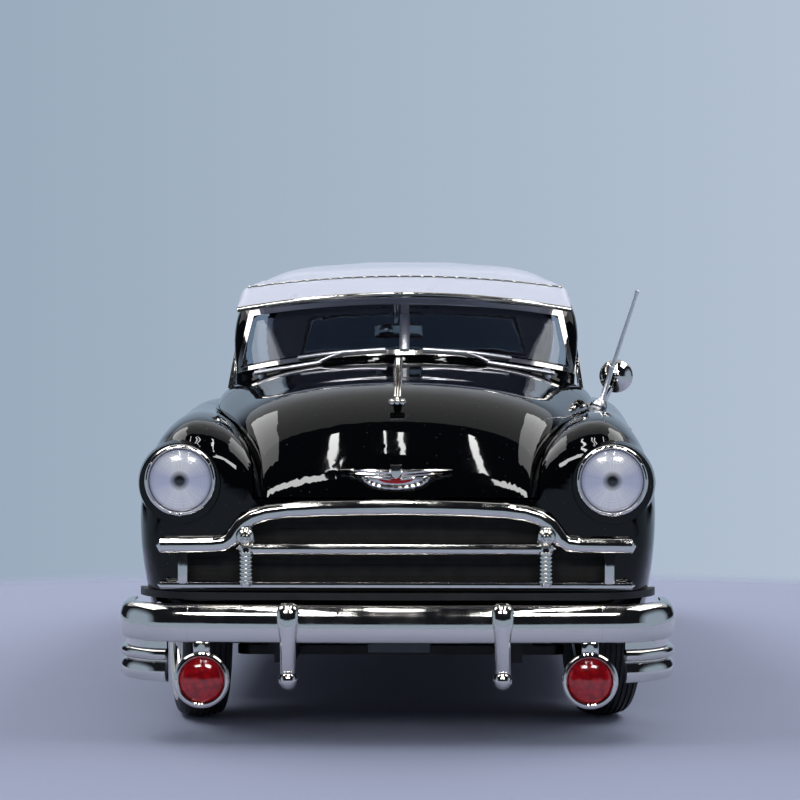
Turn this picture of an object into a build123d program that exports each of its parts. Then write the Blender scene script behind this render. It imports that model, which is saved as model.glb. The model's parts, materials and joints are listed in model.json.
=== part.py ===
"""Model car, 1:18: a two-door hardtop of about 1950 in die-cast metal, plated plastic and rubber.

Frame: X to the car's left side, Y to the tail, Z up. The origin is on the ground, at the middle of
the overall length. Millimetres throughout.

The body is one hollow skin: a lower hull lofted along the car, two rear fenders lofted beside it and
a greenhouse lofted upwards. The same functions give the skin's outer and inner faces, by an inset.
Cutters then part it into shell, roof, hood, doors and trunk lid.
"""
import os
from math import asin, cos, degrees, pi, radians, sin, sqrt

from build123d import *

# ---------------------------------------------------------------- driving sizes
SKIN = 1.6              # wall of the cast body
PANEL_GAP = 0.45        # seam round the hood, the doors and the trunk lid
SEAT_GAP = 0.05         # play between a fitted piece and its seat

FRONT_AXLE_Y = -91.8
WHEELBASE = 162.3
REAR_AXLE_Y = FRONT_AXLE_Y + WHEELBASE
FRONT_TRACK = 80.4      # between the middles of the tyres
REAR_TRACK = 82.8

TYRE_R = 19.5
TYRE_W = 10.0
RIM_R = 11.6            # seat of the tyre
WHITEWALL_R = 15.6
AXLE_R = 1.6
AXLE_Z = TYRE_R
STEER_PARKED = 10.0     # the front wheels are parked turned, degrees
STEER_LOCK = 20.0       # either way from straight ahead, degrees
KINGPIN_X = 30.0
STEER_ARM = 8.0

NOSE_Y = -131.0
ROOF_Z = 91.7

# ---------------------------------------------------------------- section tables
# Lower hull, a section every few millimetres along the car. Half widths and heights:
# b bottom edge, w widest point, s crown of the shoulder, v valley beside hood and deck, t top on the middle line
HULL_COLUMNS = ("y", "xb", "zb", "xw", "zw", "xs", "zs", "xv", "zv", "zt")
HULL = [
    (NOSE_Y, 36.0, 23.5, 43.5, 36.0, 39.0, 52.5, 25.5, 43.5, 45.8),
    (-127.5, 43.0, 21.0, 47.8, 40.0, 38.4, 58.4, 26.0, 50.0, 55.6),
    (-119.0, 46.0, 19.8, 49.3, 42.4, 38.3, 60.6, 28.6, 55.2, 62.9),
    (-95.0, 47.1, 18.7, 49.8, 43.0, 39.4, 61.2, 34.0, 59.0, 67.7),
    (-50.0, 47.2, 16.0, 50.0, 43.0, 42.2, 61.3, 39.8, 60.6, 71.0),
    (10.0, 46.8, 14.5, 49.7, 41.4, 42.5, 60.8, 40.1, 60.1, 69.3),
    (60.0, 45.5, 15.5, 48.2, 40.0, 40.7, 58.5, 38.5, 57.9, 66.6),
    (95.0, 42.5, 17.7, 46.0, 37.6, 37.2, 53.4, 35.2, 53.0, 61.4),
    (118.0, 38.6, 19.4, 42.2, 35.0, 32.8, 45.6, 30.8, 45.3, 52.4),
    (130.0, 34.0, 22.0, 37.0, 30.0, 28.0, 35.0, 26.0, 34.9, 39.0),
]
# Rear fender: b bottom edge, w widest point, s crown
FENDER_COLUMNS = ("y", "xb", "zb", "xw", "zw", "xs", "zs")
FENDER_ROOT_X = 30.0
FENDER = [
    (15.0, 46.4, 15.2, 49.7, 32.0, 43.0, 49.0),
    (30.0, 48.2, 15.0, 51.5, 32.0, 43.9, 53.2),
    (60.0, 49.0, 15.2, 52.3, 32.0, 44.6, 54.8),
    (95.0, 47.9, 16.8, 51.7, 32.0, 43.9, 52.0),
    (120.0, 44.8, 19.5, 48.5, 31.4, 40.8, 46.2),
    (132.5, 39.0, 23.4, 41.0, 30.5, 35.6, 38.4),
]
# Greenhouse and roof, plan outlines at rising heights: front and rear middle, front and rear corners.
# fall is the share of a wall's thickness that an inner outline lies lower than its outer one
ROOF_COLUMNS = ("z", "y_front", "x_fc", "y_fc", "x_rc", "y_rc", "y_rear", "corner_r", "fall")
ROOF = [
    (58.0, -65.5, 39.4, -54.5, 37.0, 58.0, 71.0, 9.0, 0.0),
    (75.0, -53.4, 37.3, -42.4, 34.9, 42.6, 55.6, 9.0, 0.0),
    (84.6, -43.6, 34.6, -33.2, 31.8, 30.0, 42.2, 9.0, 0.5),
    (87.6, -37.6, 31.2, -28.6, 28.4, 24.0, 34.6, 8.6, 0.8),
    (89.8, -29.6, 26.0, -22.2, 23.4, 17.4, 26.0, 7.6, 0.95),
    (ROOF_Z, -9.6, 9.6, -7.4, 8.6, 5.6, 8.0, 2.8, 1.0),
]


def named(columns, row):
    return dict(zip(columns, row))


def both(shape):
    """A piece of the left side and its mirror image on the right."""
    return Part() + [shape, mirror(shape, about=Plane.YZ)]


def block(x, y, z):
    """A box from three (low, high) pairs."""
    size = [high - low for low, high in (x, y, z)]
    return Pos(*[(low + high) / 2 for low, high in (x, y, z)]) * Box(*size)


def up_z(outline, low, high):
    """A plan outline (x, y) raised between two heights."""
    return extrude(Pos(0, 0, low) * make_face(outline), high - low, dir=(0, 0, 1))


def along_y(outline, low, high):
    """A front-view outline (x, z) drawn out along the car."""
    return extrude(Pos(0, low, 0) * (Plane.XZ * make_face(outline)), high - low, dir=(0, 1, 0))


def along_x(outline, low, high):
    """A side-view outline (y, z) drawn out across the car."""
    return extrude(Pos(low, 0, 0) * (Plane.YZ * make_face(outline)), high - low, dir=(1, 0, 0))


def rod(start, end, radius):
    path = Vector(*end) - Vector(*start)
    return Part() + Solid.make_cylinder(radius, path.length, Plane(origin=start, z_dir=path))


def turned_x(points):
    """A profile of (x, radius) points turned about the X axis."""
    return revolve(Plane.XZ * make_face(Polyline(*points, close=True)), Axis.X)


def turned_y(points):
    """A profile of (y, radius) points turned about the Y axis."""
    return revolve(Plane.YZ * make_face(Polyline(*points, close=True)), Axis.Y)


def turned_z(points):
    """A profile of (radius, z) points turned about the Z axis."""
    return revolve(Plane.XZ * make_face(Polyline(*points, close=True)), Axis.Z)


def save(name, shape):
    export_step(shape, f"parts/{name}.step")


# ---------------------------------------------------------------- the skin's faces
def hull_section(row, inset):
    """One closed section of the lower hull. An inset section also reaches down, so the skin is open below."""
    d = named(HULL_COLUMNS, row)
    y = d["y"] + (inset if row is HULL[0] else -inset if row is HULL[-1] else 0)
    drop = 12.0 if inset > 0 else 0.0
    xb, xw, xv = d["xb"] - inset, d["xw"] - inset, d["xv"] - inset * 0.3
    xs, zs, zv, zt = d["xs"], d["zs"] - inset, d["zv"] - inset, d["zt"] - inset
    zb, zw = d["zb"] - drop, d["zw"]
    halves = []
    for side in (1, -1):
        at_shoulder = Plane(origin=(side * xs, y, zw), x_dir=(side, 0, 0), z_dir=(0, -side, 0))
        at_middle = Plane(origin=(0, y, zv), x_dir=(side, 0, 0), z_dir=(0, -side, 0))
        crown = Vector(side * xs, y, zs)
        flank = Edge.make_tangent_arc(Vector(side * xw, y, zw), Vector(0, 0, -1), Vector(side * xb, y, zb))
        shoulder = Edge.make_ellipse(xw - xs, zs - zw, at_shoulder, start_angle=0, end_angle=90)
        valley = Edge.make_tangent_arc(crown, Vector(-side, 0, 0), Vector(side * xv, y, zv))
        top = Edge.make_ellipse(xv, zt - zv, at_middle, start_angle=0, end_angle=90)
        halves.append([flank, shoulder, valley, top])
    floor = Edge.make_line((-xb, y, zb), (xb, y, zb))
    return Wire([floor] + halves[0] + halves[1][::-1])


def lower_hull(inset=0.0):
    return Part() + Solid.make_loft([hull_section(row, inset) for row in HULL])


def fender_section(row, inset):
    d = named(FENDER_COLUMNS, row)
    y = d["y"] + (inset if row is FENDER[0] else -inset if row is FENDER[-1] else 0)
    drop = 12.0 if inset > 0 else 0.0
    xb, zb, xw, zs = d["xb"] - inset, d["zb"] - drop, d["xw"] - inset, d["zs"] - inset
    xs, zw = d["xs"], d["zw"]
    root_low, root_high = Vector(FENDER_ROOT_X, y, zb), Vector(FENDER_ROOT_X, y, zs)
    at_shoulder = Plane(origin=(xs, y, zw), x_dir=(1, 0, 0), z_dir=(0, -1, 0))
    return Wire([
        Edge.make_line(root_low, (xb, y, zb)),
        Edge.make_tangent_arc(Vector(xw, y, zw), Vector(0, 0, -1), Vector(xb, y, zb)),
        Edge.make_ellipse(xw - xs, zs - zw, at_shoulder, start_angle=0, end_angle=90),
        Edge.make_line((xs, y, zs), root_high),
        Edge.make_line(root_high, root_low),
    ])


def rear_fenders(inset=0.0):
    return both(Part() + Solid.make_loft([fender_section(row, inset) for row in FENDER]))


def roof_section(row, inset):
    d = named(ROOF_COLUMNS, row)
    z = d["z"] - inset * d["fall"]
    x_f, x_r = d["x_fc"] - inset, d["x_rc"] - inset
    y_f, y_fc = d["y_front"] + inset, d["y_fc"] + inset
    y_r, y_rc = d["y_rear"] - inset, d["y_rc"] - inset
    outline = ThreePointArc((-x_f, y_fc), (0, y_f), (x_f, y_fc)) + Line((x_f, y_fc), (x_r, y_rc)) \
        + ThreePointArc((x_r, y_rc), (0, y_r), (-x_r, y_rc)) + Line((-x_r, y_rc), (-x_f, y_fc))
    face = make_face(outline)
    return Pos(0, 0, z) * fillet(face.vertices(), d["corner_r"])


def greenhouse(inset=0.0):
    return loft([roof_section(row, inset) for row in ROOF])


def hull_band(outer, inner, *limits):
    """What lies between two insets of the lower hull, inside a box."""
    return (lower_hull(outer) & block(*limits)) - lower_hull(inner)


# ---------------------------------------------------------------- where the skin is parted
HOOD_REAR_Y = -64.0
HOOD_NOSE_Z = 45.5
HOOD_NOSE_X, HOOD_WAIST_X, HOOD_REAR_X = 25.8, 33.3, 39.2
DOOR_FRONT_Y, DOOR_REAR_Y = -48.0, 14.0
DOOR_LOW_Z, BELT_Z = 20.0, 64.2
DOOR_IN_X, DOOR_OUT_X = 36.9, 50.0
DOOR_SLANT = 0.2        # the rear shut face leans in by this much for each millimetre, so that it clears
DOOR_T = 3.8            # skin and trim together
LID_X = 26.5
LID_FRONT_Y, LID_LOW_Z = 69.0, 37.4
FRONT_ARCH_R = 22.3
REAR_ARCH_R, REAR_ARCH_Z = 21.6, 17.0
WINDOW_TOP_Z = 81.6
GLASS_T = 1.0


def hood_outline(gap):
    x_nose, x_waist, x_rear, y_rear = HOOD_NOSE_X - gap, HOOD_WAIST_X - gap, HOOD_REAR_X - gap, HOOD_REAR_Y - gap
    side = ThreePointArc((x_nose, -136), (x_waist, -100), (x_rear, y_rear))
    other = ThreePointArc((-x_rear, y_rear), (-x_waist, -100), (-x_nose, -136))
    return side + Line((x_rear, y_rear), (-x_rear, y_rear)) + other + Line((-x_nose, -136), (x_nose, -136))


def hood_cutter(gap=0.0):
    return up_z(hood_outline(gap), HOOD_NOSE_Z + gap, 80)


def door_cutter(gap=0.0):
    """The left door's region: a prism whose rear face leans."""
    front, rear, inner = DOOR_FRONT_Y + gap, DOOR_REAR_Y - gap, DOOR_IN_X + gap
    inner_rear = rear - DOOR_SLANT * (DOOR_OUT_X - inner)
    outline = Polyline((inner, front), (60, front), (60, rear + 2), (DOOR_OUT_X, rear), (inner, inner_rear), close=True)
    return up_z(outline, DOOR_LOW_Z + gap, BELT_Z)


def lid_cutter(gap=0.0):
    return block((-LID_X + gap, LID_X - gap), (LID_FRONT_Y + gap, 150), (LID_LOW_Z + gap, 80))


WINDSHIELD_END_Y = -38.2


def windshield_outline(grow=0.0):
    g = grow
    low = ThreePointArc((-36.2 - g, 67.6 - g), (0, 71.6 - g), (36.2 + g, 67.6 - g))
    high = ThreePointArc((33.8 + g, 80.9 + g), (0, 83.4 + g), (-33.8 - g, 80.9 + g))
    return low + Line((36.2 + g, 67.6 - g), (33.8 + g, 80.9 + g)) + high + Line((-33.8 - g, 80.9 + g), (-36.2 - g, 67.6 - g))


def rear_window_outline(grow=0.0):
    g = grow
    low = ThreePointArc((-28.5 - g, 68.4 - g), (0, 69.6 - g), (28.5 + g, 68.4 - g))
    high = ThreePointArc((25.5 + g, 80.6 + g), (0, 82.4 + g), (-25.5 - g, 80.6 + g))
    return low + Line((28.5 + g, 68.4 - g), (25.5 + g, 80.6 + g)) + high + Line((-25.5 - g, 80.6 + g), (-28.5 - g, 68.4 - g))


def side_window_outline(grow=0.0):
    g = grow
    points = [(-45.6 - g, BELT_Z - g - 0.2), (-29.6 - g, WINDOW_TOP_Z + g), (23.0 + g, WINDOW_TOP_Z + g),
              (33.0 + g, BELT_Z - g - 0.2)]
    return Polyline(*points, close=True)


def side_window_cutter():
    return along_x(side_window_outline(), -60, 60)


def window_cutters():
    front = along_y(windshield_outline(), -80, WINDSHIELD_END_Y)
    return [front, along_y(rear_window_outline(), 28, 90), side_window_cutter()]


# ---------------------------------------------------------------- body
HEADLAMP_X, HEADLAMP_Z, HEADLAMP_R = 40.7, 48.6, 6.8
HEADLAMP_Y = -132.0
GRILLE_Y = NOSE_Y
TAIL_LAMP_X, TAIL_LAMP_Z, TAIL_LAMP_R = 39.6, 37.0, 3.2
JAMB_T, JAMB_X, SILL_X = 1.6, 41.0, 38.4
FIREWALL_Y = -62.5
C_PILLAR_Y, HEADER_Z = 24.0, 82.6


def headlamp_pods(bore):
    """Round housings in the fender noses, with a seat for the lamp."""
    pod = turned_y([(-1.0, 0), (-1.0, 7.6), (2.0, 8.1), (14.0, 8.3), (14.0, 0)])
    seat = Rot(90, 0, 0) * Cylinder(HEADLAMP_R - 0.6, 8)
    return both(Pos(HEADLAMP_X, HEADLAMP_Y + 1, HEADLAMP_Z) * (seat if bore else pod))


def nose_opening():
    arch = ThreePointArc((-29, 43.2), (0, 44.2), (29, 43.2))
    return along_y(arch + Polyline((29, 43.2), (34, 37), (40, 35.5), (40, 29.6), (-40, 29.6), (-40, 35.5), (-34, 37),
                                   (-29, 43.2)), NOSE_Y - 5, NOSE_Y + 5)


def lower_skin():
    """Hull and rear fenders as one skin, open to the cabin, with its arches, grille mouth and lamp seats."""
    hollow, cabin = lower_hull(SKIN), greenhouse(SKIN)
    hull = (lower_hull() + headlamp_pods(False)) - [hollow, cabin] - rear_fenders(SKIN)
    fenders = rear_fenders() - rear_fenders(SKIN) - hollow - cabin
    arches = [
        Pos(0, y, z) * Rot(0, 90, 0) * Cylinder(radius, 120)
        for y, z, radius in ((FRONT_AXLE_Y, AXLE_Z, FRONT_ARCH_R), (REAR_AXLE_Y, REAR_ARCH_Z, REAR_ARCH_R))
    ]
    return (hull + fenders) - [*arches, nose_opening(), headlamp_pods(True)]


def upper_skin():
    return greenhouse() - greenhouse(SKIN) - window_cutters()


def jambs():
    """Returned edges of the door openings, the sill and the firewall."""
    inner = lower_hull(SKIN - 0.2)
    rear_in = DOOR_REAR_Y - DOOR_SLANT * (DOOR_OUT_X - JAMB_X)
    rear_plan = Polyline((JAMB_X, rear_in), (DOOR_OUT_X, DOOR_REAR_Y), (DOOR_OUT_X, DOOR_REAR_Y + JAMB_T),
                         (JAMB_X, rear_in + JAMB_T), close=True)
    front = inner & block((JAMB_X, 60), (DOOR_FRONT_Y - JAMB_T, DOOR_FRONT_Y), (PAN_HIGH + 0.1, 59.5))
    rear = inner & up_z(rear_plan, PAN_HIGH + 0.1, 59)
    sill = inner & block((SILL_X, 60), (DOOR_FRONT_Y - 1, DOOR_REAR_Y + 1), (DOOR_LOW_Z - JAMB_T, DOOR_LOW_Z))
    wall = inner & block((-60, 60), (FIREWALL_Y, FIREWALL_Y + 1.5), (20, 80)) - block((-5.4, 5.4), (-70, -50), (0, 25.4))
    return [both(front), both(rear), both(sill), wall]


def body_pieces():
    """The five painted pieces that the skin is parted into."""
    hull, hollow = lower_hull(), lower_hull(SKIN)
    upper = upper_skin() - hull
    roof_zone = block((-60, 60), (C_PILLAR_Y, 80), (58, 100)) + block((-60, 60), (-80, 80), (HEADER_Z, 100))
    sides = side_window_cutter()
    roof = upper & roof_zone
    pillars = (upper - roof_zone) - both(door_cutter())
    corner = Polyline((38.5, -70), (37.9, -63), (45, -63), (45, -70), close=True)
    hood = (hull & hood_cutter(PANEL_GAP)) - [hollow, both(up_z(corner, 50, 80))]
    door = (hull & door_cutter(PANEL_GAP)) - [hollow, greenhouse(SKIN)] + (upper & door_cutter(PANEL_GAP)) - sides
    lid = (hull & lid_cutter(PANEL_GAP)) - hollow
    shell = lower_skin() - [hood_cutter(), both(door_cutter()), lid_cutter(), sides] + jambs() \
        - [hood_cutter(), both(door_cutter())] + pillars
    return shell, roof, hood, door, lid


# ---------------------------------------------------------------- glass, visor and their bright frames
FRAME_W = 1.0
TRIM_PROUD = 0.6
GLASS_IN = 0.3           # from the skin's face to the glass


def framed_window(outline, low, high, divider):
    """A bright frame in the opening, and the glass inside it."""
    gap = SEAT_GAP
    outer, inner = along_y(outline(-gap), low, high), along_y(outline(-gap - FRAME_W), low, high)
    ring = outer - inner
    pane = along_y(outline(-gap * 2 - FRAME_W), low, high - 1.4)
    if divider:
        ring += outer & block((-divider, divider), (low, high), (60, 90))
        pane -= block((-divider - gap, divider + gap), (low, high), (60, 90))
    frame = (greenhouse(-TRIM_PROUD) & ring) - greenhouse(SKIN)
    glass = (greenhouse(GLASS_IN) & pane) - greenhouse(GLASS_IN + GLASS_T)
    return frame, glass


# Visor, front to back: station, half width, height at the ends, at the shoulders and on the middle line
VISOR_COLUMNS = ("y", "half", "z_end", "z_shoulder", "z_mid")
VISOR = [(-58.6, 35.0, 81.6, 82.1, 84.8), (-50.0, 35.0, 84.0, 86.2, 88.3), (-38.0, 33.2, 84.6, 87.4, 90.0)]
VISOR_T = 1.0
VISOR_SHOULDER = 3.0    # from each end to its shoulder
VISOR_TRIM_R = 0.55


def visor_line(row, inset):
    """One face of the visor in front view: turned-down ends and a shallow arch between the shoulders."""
    d = named(VISOR_COLUMNS, row)
    half, low, high, mid = d["half"] - inset, d["z_end"], d["z_shoulder"] - inset, d["z_mid"] - inset
    turn_x, turn_z = half - VISOR_SHOULDER / 2, (low + high) / 2
    out = 0.22 * (high - low)
    shoulder = half - VISOR_SHOULDER
    return ThreePointArc((-half, low), (-turn_x - out, turn_z + out), (-shoulder, high)) \
        + ThreePointArc((-shoulder, high), (0, mid), (shoulder, high)) \
        + ThreePointArc((shoulder, high), (turn_x + out, turn_z + out), (half, low))


def visor_section(row):
    d = named(VISOR_COLUMNS, row)
    half, inner_half, low = d["half"], d["half"] - VISOR_T, d["z_end"]
    outline = visor_line(row, 0) + visor_line(row, VISOR_T) + Line((-half, low), (-inner_half, low)) \
        + Line((half, low), (inner_half, low))
    return Pos(0, d["y"], 0) * (Plane.XZ * make_face(outline))


def visor():
    return loft([visor_section(row) for row in VISOR], ruled=True) - greenhouse(-SEAT_GAP)


def visor_trim():
    """A bright bead along the front lip."""
    d = named(VISOR_COLUMNS, VISOR[0])
    y, half, drop = d["y"] - VISOR_TRIM_R, d["half"], VISOR_T / 2
    lip = Edge.make_three_point_arc((-half, y, d["z_end"] - drop), (0, y, d["z_mid"] - drop), (half, y, d["z_end"] - drop))
    return sweep(Plane(origin=lip @ 0, z_dir=lip % 0) * Circle(VISOR_TRIM_R), path=lip)


# ---------------------------------------------------------------- nose: grille, bumper and lamps
BUMPER_HALF, BUMPER_Y, BUMPER_Z = 52.9, 138.4, 22.8
BUMPER_H, BUMPER_T = 7.8, 1.6
BUMPER_END_R, BUMPER_SWEEP, BUMPER_END_Y = 13.0, 6.6, 117.0
GUARD_X, GUARD_W = 20.0, 3.8
GRAVEL_PAN_Z, GRAVEL_PAN_T = 26.9, 1.3
GRILLE_BAR_Z, GRILLE_BAR_H = 36.5, 2.9
GRILLE_LOW_Z, GRILLE_LOW_H = 29.3, 1.5
GRILLE_TOP_Z = 45.3
GRILLE_HALF = 44.6
POST_X, SMALL_POST_X = 28.1, 40.0
FOG_X, FOG_Y, FOG_Z, FOG_R = 35.6, -136.2, 12.0, 5.3


def bumper_path(half, face_y, end_y):
    """Plan path of a bumper, from the left end round to the right end: straight, corner arc, wide middle arc."""
    sweep_angle, r = radians(BUMPER_SWEEP), BUMPER_END_R
    corner_x = half - r
    meet_x = corner_x + r * sin(sweep_angle)
    wide_r = meet_x / sin(sweep_angle)
    corner_y = -face_y + wide_r * (1 - cos(sweep_angle)) + r * cos(sweep_angle)
    wide_y = -face_y + wide_r
    turn = 90 - BUMPER_SWEEP
    return [
        Edge.make_line((half, -end_y, 0), (half, corner_y, 0)),
        Edge.make_circle(r, Plane(origin=(corner_x, corner_y, 0), x_dir=(1, 0, 0), z_dir=(0, 0, -1)), 0, turn),
        Edge.make_circle(wide_r, Plane(origin=(0, wide_y, 0), x_dir=(1, 0, 0), z_dir=(0, 0, -1)), 90 - BUMPER_SWEEP, 90 + BUMPER_SWEEP),
        Edge.make_circle(r, Plane(origin=(-corner_x, corner_y, 0), x_dir=(1, 0, 0), z_dir=(0, 0, -1)), 180 - turn, 180),
        Edge.make_line((-half, corner_y, 0), (-half, -end_y, 0)),
    ]


def swept_bar(edges, outline, z):
    """A bar whose section (inward, up) follows some edges of the bumper's path."""
    start = Wire(edges).moved(Pos(0, 0, z))
    at = Plane(origin=start @ 0, x_dir=(-1, 0, 0), z_dir=start % 0)
    return sweep(at * make_face(outline), path=start)


def bumper_bar():
    h, t, bow = BUMPER_H / 2, BUMPER_T, 1.2
    section = ThreePointArc((bow, -h), (0, 0), (bow, h)) + Line((bow, h), (bow + t, h)) \
        + ThreePointArc((bow + t, h), (t + 0.2, 0), (bow + t, -h)) + Line((bow + t, -h), (bow, -h))
    return swept_bar(bumper_path(BUMPER_HALF, BUMPER_Y, BUMPER_END_Y), section, BUMPER_Z)


def bumper_end_ribs():
    """Two ribs that wrap each end below the bar, on a thin web."""
    edges = bumper_path(BUMPER_HALF, BUMPER_Y, BUMPER_END_Y)[:2]
    ribs = Part()
    for z in (17.4, 14.7):
        ribs += swept_bar(edges, Polyline((0.3, -0.6), (0.3, 0.6), (1.0, 1.25), (2.2, 1.25), (2.2, -1.25), (1.0, -1.25),
                                          close=True), z)
    web = Polyline((1.2, -3.2), (1.2, 3.2), (2.2, 3.2), (2.2, -3.2), close=True)
    return both(ribs + swept_bar(edges, web, 16.6))


def bumper_guards():
    front = ThreePointArc((-137.4, 27.3), (-139.6, 22.6), (-138.3, 12.2))
    outline = front + Line((-138.3, 12.2), (-136.4, 12.2)) + ThreePointArc((-136.4, 12.2), (-137.0, 20.0), (-135.2, 26.8)) \
        + Line((-135.2, 26.8), (-137.4, 27.3))
    guard = along_x(outline, GUARD_X - GUARD_W / 2, GUARD_X + GUARD_W / 2)
    guard = guard + Pos(GUARD_X, -137.3, 12.4) * Sphere(1.9)
    return both(guard)


def bumper():
    """The front one. The rear one is its mirror image."""
    return bumper_bar() + bumper_end_ribs() + bumper_guards()


def gravel_pan():
    half, end_y = 49.2, 119.0
    edges = bumper_path(half, 134.9, end_y)
    closing = Edge.make_line((-half, -end_y, 0), (half, -end_y, 0))
    plate = extrude(Pos(0, 0, GRAVEL_PAN_Z + GRAVEL_PAN_T) * Face(Wire(edges + [closing])), GRAVEL_PAN_T, dir=(0, 0, -1))
    return plate - lower_hull(-SEAT_GAP)


def grille_bar(half, z, height, tip):
    """A straight bar with pointed ends."""
    h = height / 2
    outline = Polyline((-half, z - h), (half, z - h), (half - tip, z + h), (-half + tip, z + h), close=True)
    return along_y(outline, GRILLE_Y - 3.2, GRILLE_Y - SEAT_GAP)


def grille_arch():
    """The top bar: a shallow arch whose shoulders turn down onto the main bar."""
    foot, shoulder, t = 31.6, 24.0, 2.6
    low, top = GRILLE_BAR_Z + 1, GRILLE_TOP_Z
    outer = ThreePointArc((-foot, low), (-foot + 1.6, 41.4), (-shoulder, 44.0)) \
        + ThreePointArc((-shoulder, 44.0), (0, top), (shoulder, 44.0)) \
        + ThreePointArc((shoulder, 44.0), (foot - 1.6, 41.4), (foot, low))
    inner = ThreePointArc((foot - t, low), (foot - t - 1.5, 40.0), (shoulder - 0.4, 44.0 - t)) \
        + ThreePointArc((shoulder - 0.4, 44.0 - t), (0, top - t), (-shoulder + 0.4, 44.0 - t)) \
        + ThreePointArc((-shoulder + 0.4, 44.0 - t), (-foot + t + 1.5, 40.0), (-foot + t, low))
    outline = outer + Line((foot, low), (foot - t, low)) + inner + Line((-foot + t, low), (-foot, low))
    return along_y(outline, GRILLE_Y - 3.4, GRILLE_Y - SEAT_GAP)


def grille_posts():
    low, high = GRILLE_LOW_Z, GRILLE_BAR_Z
    count = 6
    pitch = (high - low - 2.0) / count
    post = Part() + block((POST_X - 1.1, POST_X + 1.1), (GRILLE_Y - 3.0, GRILLE_Y - 0.4), (low, high + 4))
    for i in range(count):
        post += Pos(POST_X, GRILLE_Y - 2.4, low + 1.4 + i * pitch) * Cylinder(1.5, pitch * 0.62)
    post += Pos(POST_X, GRILLE_Y - 2.9, 38.8) * Sphere(2.0)
    small = block((SMALL_POST_X - 1.1, SMALL_POST_X + 1.1), (GRILLE_Y - 2.6, GRILLE_Y - 0.4), (low, high))
    return both(post + small)


def grille():
    bars = grille_bar(GRILLE_HALF, GRILLE_BAR_Z, GRILLE_BAR_H, 1.6) + grille_bar(GRILLE_HALF, GRILLE_LOW_Z, GRILLE_LOW_H, 0.6)
    return bars + grille_arch() + grille_posts()


def grille_screen():
    return block((-41, 41), (NOSE_Y + SKIN + SEAT_GAP, NOSE_Y + SKIN + 1.2), (28.4, 44.6)) & lower_hull(SKIN + SEAT_GAP)


def fog_lamp():
    cup = turned_y([(0, 4.2), (0, FOG_R), (1.6, FOG_R), (5.8, 3.4), (6.4, 0), (5.2, 0), (1.6, 4.2)])
    hanger = block((-1.6, 1.6), (0.6, 2.2), (4.6, BUMPER_Z - BUMPER_H / 2 - SEAT_GAP - FOG_Z))
    return Pos(FOG_X, FOG_Y, FOG_Z) * (cup + hanger)


def dome(radius, depth, back, rim_y):
    """A lens: a spherical cap that bows forward from its rim, flat behind."""
    sphere_r = (radius ** 2 + depth ** 2) / (2 * depth)
    centre_y = rim_y - depth + sphere_r
    half_way = asin(radius / sphere_r) / 2
    middle = (centre_y - sphere_r * cos(half_way), sphere_r * sin(half_way))
    outline = ThreePointArc((rim_y, radius), middle, (rim_y - depth, 0)) \
        + Polyline((rim_y - depth, 0), (rim_y + back, 0), (rim_y + back, radius), (rim_y, radius))
    return revolve(Plane.YZ * make_face(outline), Axis.Y)


def headlamp_ring():
    r = HEADLAMP_R
    return Pos(HEADLAMP_X, HEADLAMP_Y, HEADLAMP_Z) * turned_y(
        [(-SEAT_GAP, r - 0.55), (-1.1, r - 0.6), (-1.4, r - 0.3), (-1.1, r + 0.05), (-SEAT_GAP, r + 0.35)])


def headlamp_lens():
    return Pos(HEADLAMP_X, HEADLAMP_Y, HEADLAMP_Z) * dome(HEADLAMP_R - 0.7, 1.5, 2.4, -0.6)


# ---------------------------------------------------------------- outside trim
SPEAR_Z, SPEAR_H = 48.6, 1.7
SPEAR_FRONT_Y = -46.4   # on the door, clear of the fender's spear as the door swings


def band_on(surface, limits):
    """A raised strip that follows a skin function, inside a box."""
    return (block(*limits) - surface()) & surface(-TRIM_PROUD)


def side_trim():
    high = (SPEAR_Z - SPEAR_H / 2, SPEAR_Z + SPEAR_H / 2)
    fender = band_on(lower_hull, ((20, 60), (-125, DOOR_FRONT_Y - SEAT_GAP), high)) - headlamp_pods(False)
    rocker = band_on(lower_hull, ((44, 60), (FRONT_AXLE_Y + FRONT_ARCH_R + 1.5, 14), (16.4, 18.2)))
    quarter = band_on(rear_fenders, ((20, 60), (22, 66), (38.8, 40.6)))
    shield = band_on(rear_fenders, ((20, 60), (22, REAR_AXLE_Y - REAR_ARCH_R - 1.2), (16.5, 26)))
    return both(Part() + [fender, rocker, quarter, shield])


def door_trim():
    """Spear, handle and vent window frame of the left door."""
    region = door_cutter(PANEL_GAP)
    spear = band_on(lower_hull, ((20, 60), (SPEAR_FRONT_Y, 20), (SPEAR_Z - SPEAR_H / 2, SPEAR_Z + SPEAR_H / 2))) & region
    handle = rod((48.6, 4.6, 53.4), (50.0, 4.6, 53.4), 0.7) + rod((48.2, 10.4, 53.4), (50.0, 10.4, 53.4), 0.7) \
        + rod((50.1, 3.6, 53.4), (50.1, 11.4, 53.4), 0.75)
    outer = Polyline((-45.0, 0), (-33.3, 12.8), (-31.9, 12.8), (-31.9, 0), close=True)
    hole = Polyline((-42.7, 0.9), (-33.3, 11.2), (-32.9, 11.2), (-32.9, 0.9), close=True)
    vent = Pos(37.7, 0, BELT_Z + SEAT_GAP) * Rot(0, -7, 0) * (along_x(outer, -0.4, 0.4) - along_x(hole, -1, 1))
    return spear + (handle - lower_hull()) + vent


def door_card():
    """The inner trim of the left door."""
    inner = lower_hull(SKIN + SEAT_GAP) & door_cutter(PANEL_GAP + 0.3) & block((30, 60), (-60, 20), (18, 58.4))
    return inner - lower_hull(DOOR_T) - block((30, 41), (-60, 20), (10, 70))


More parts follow.
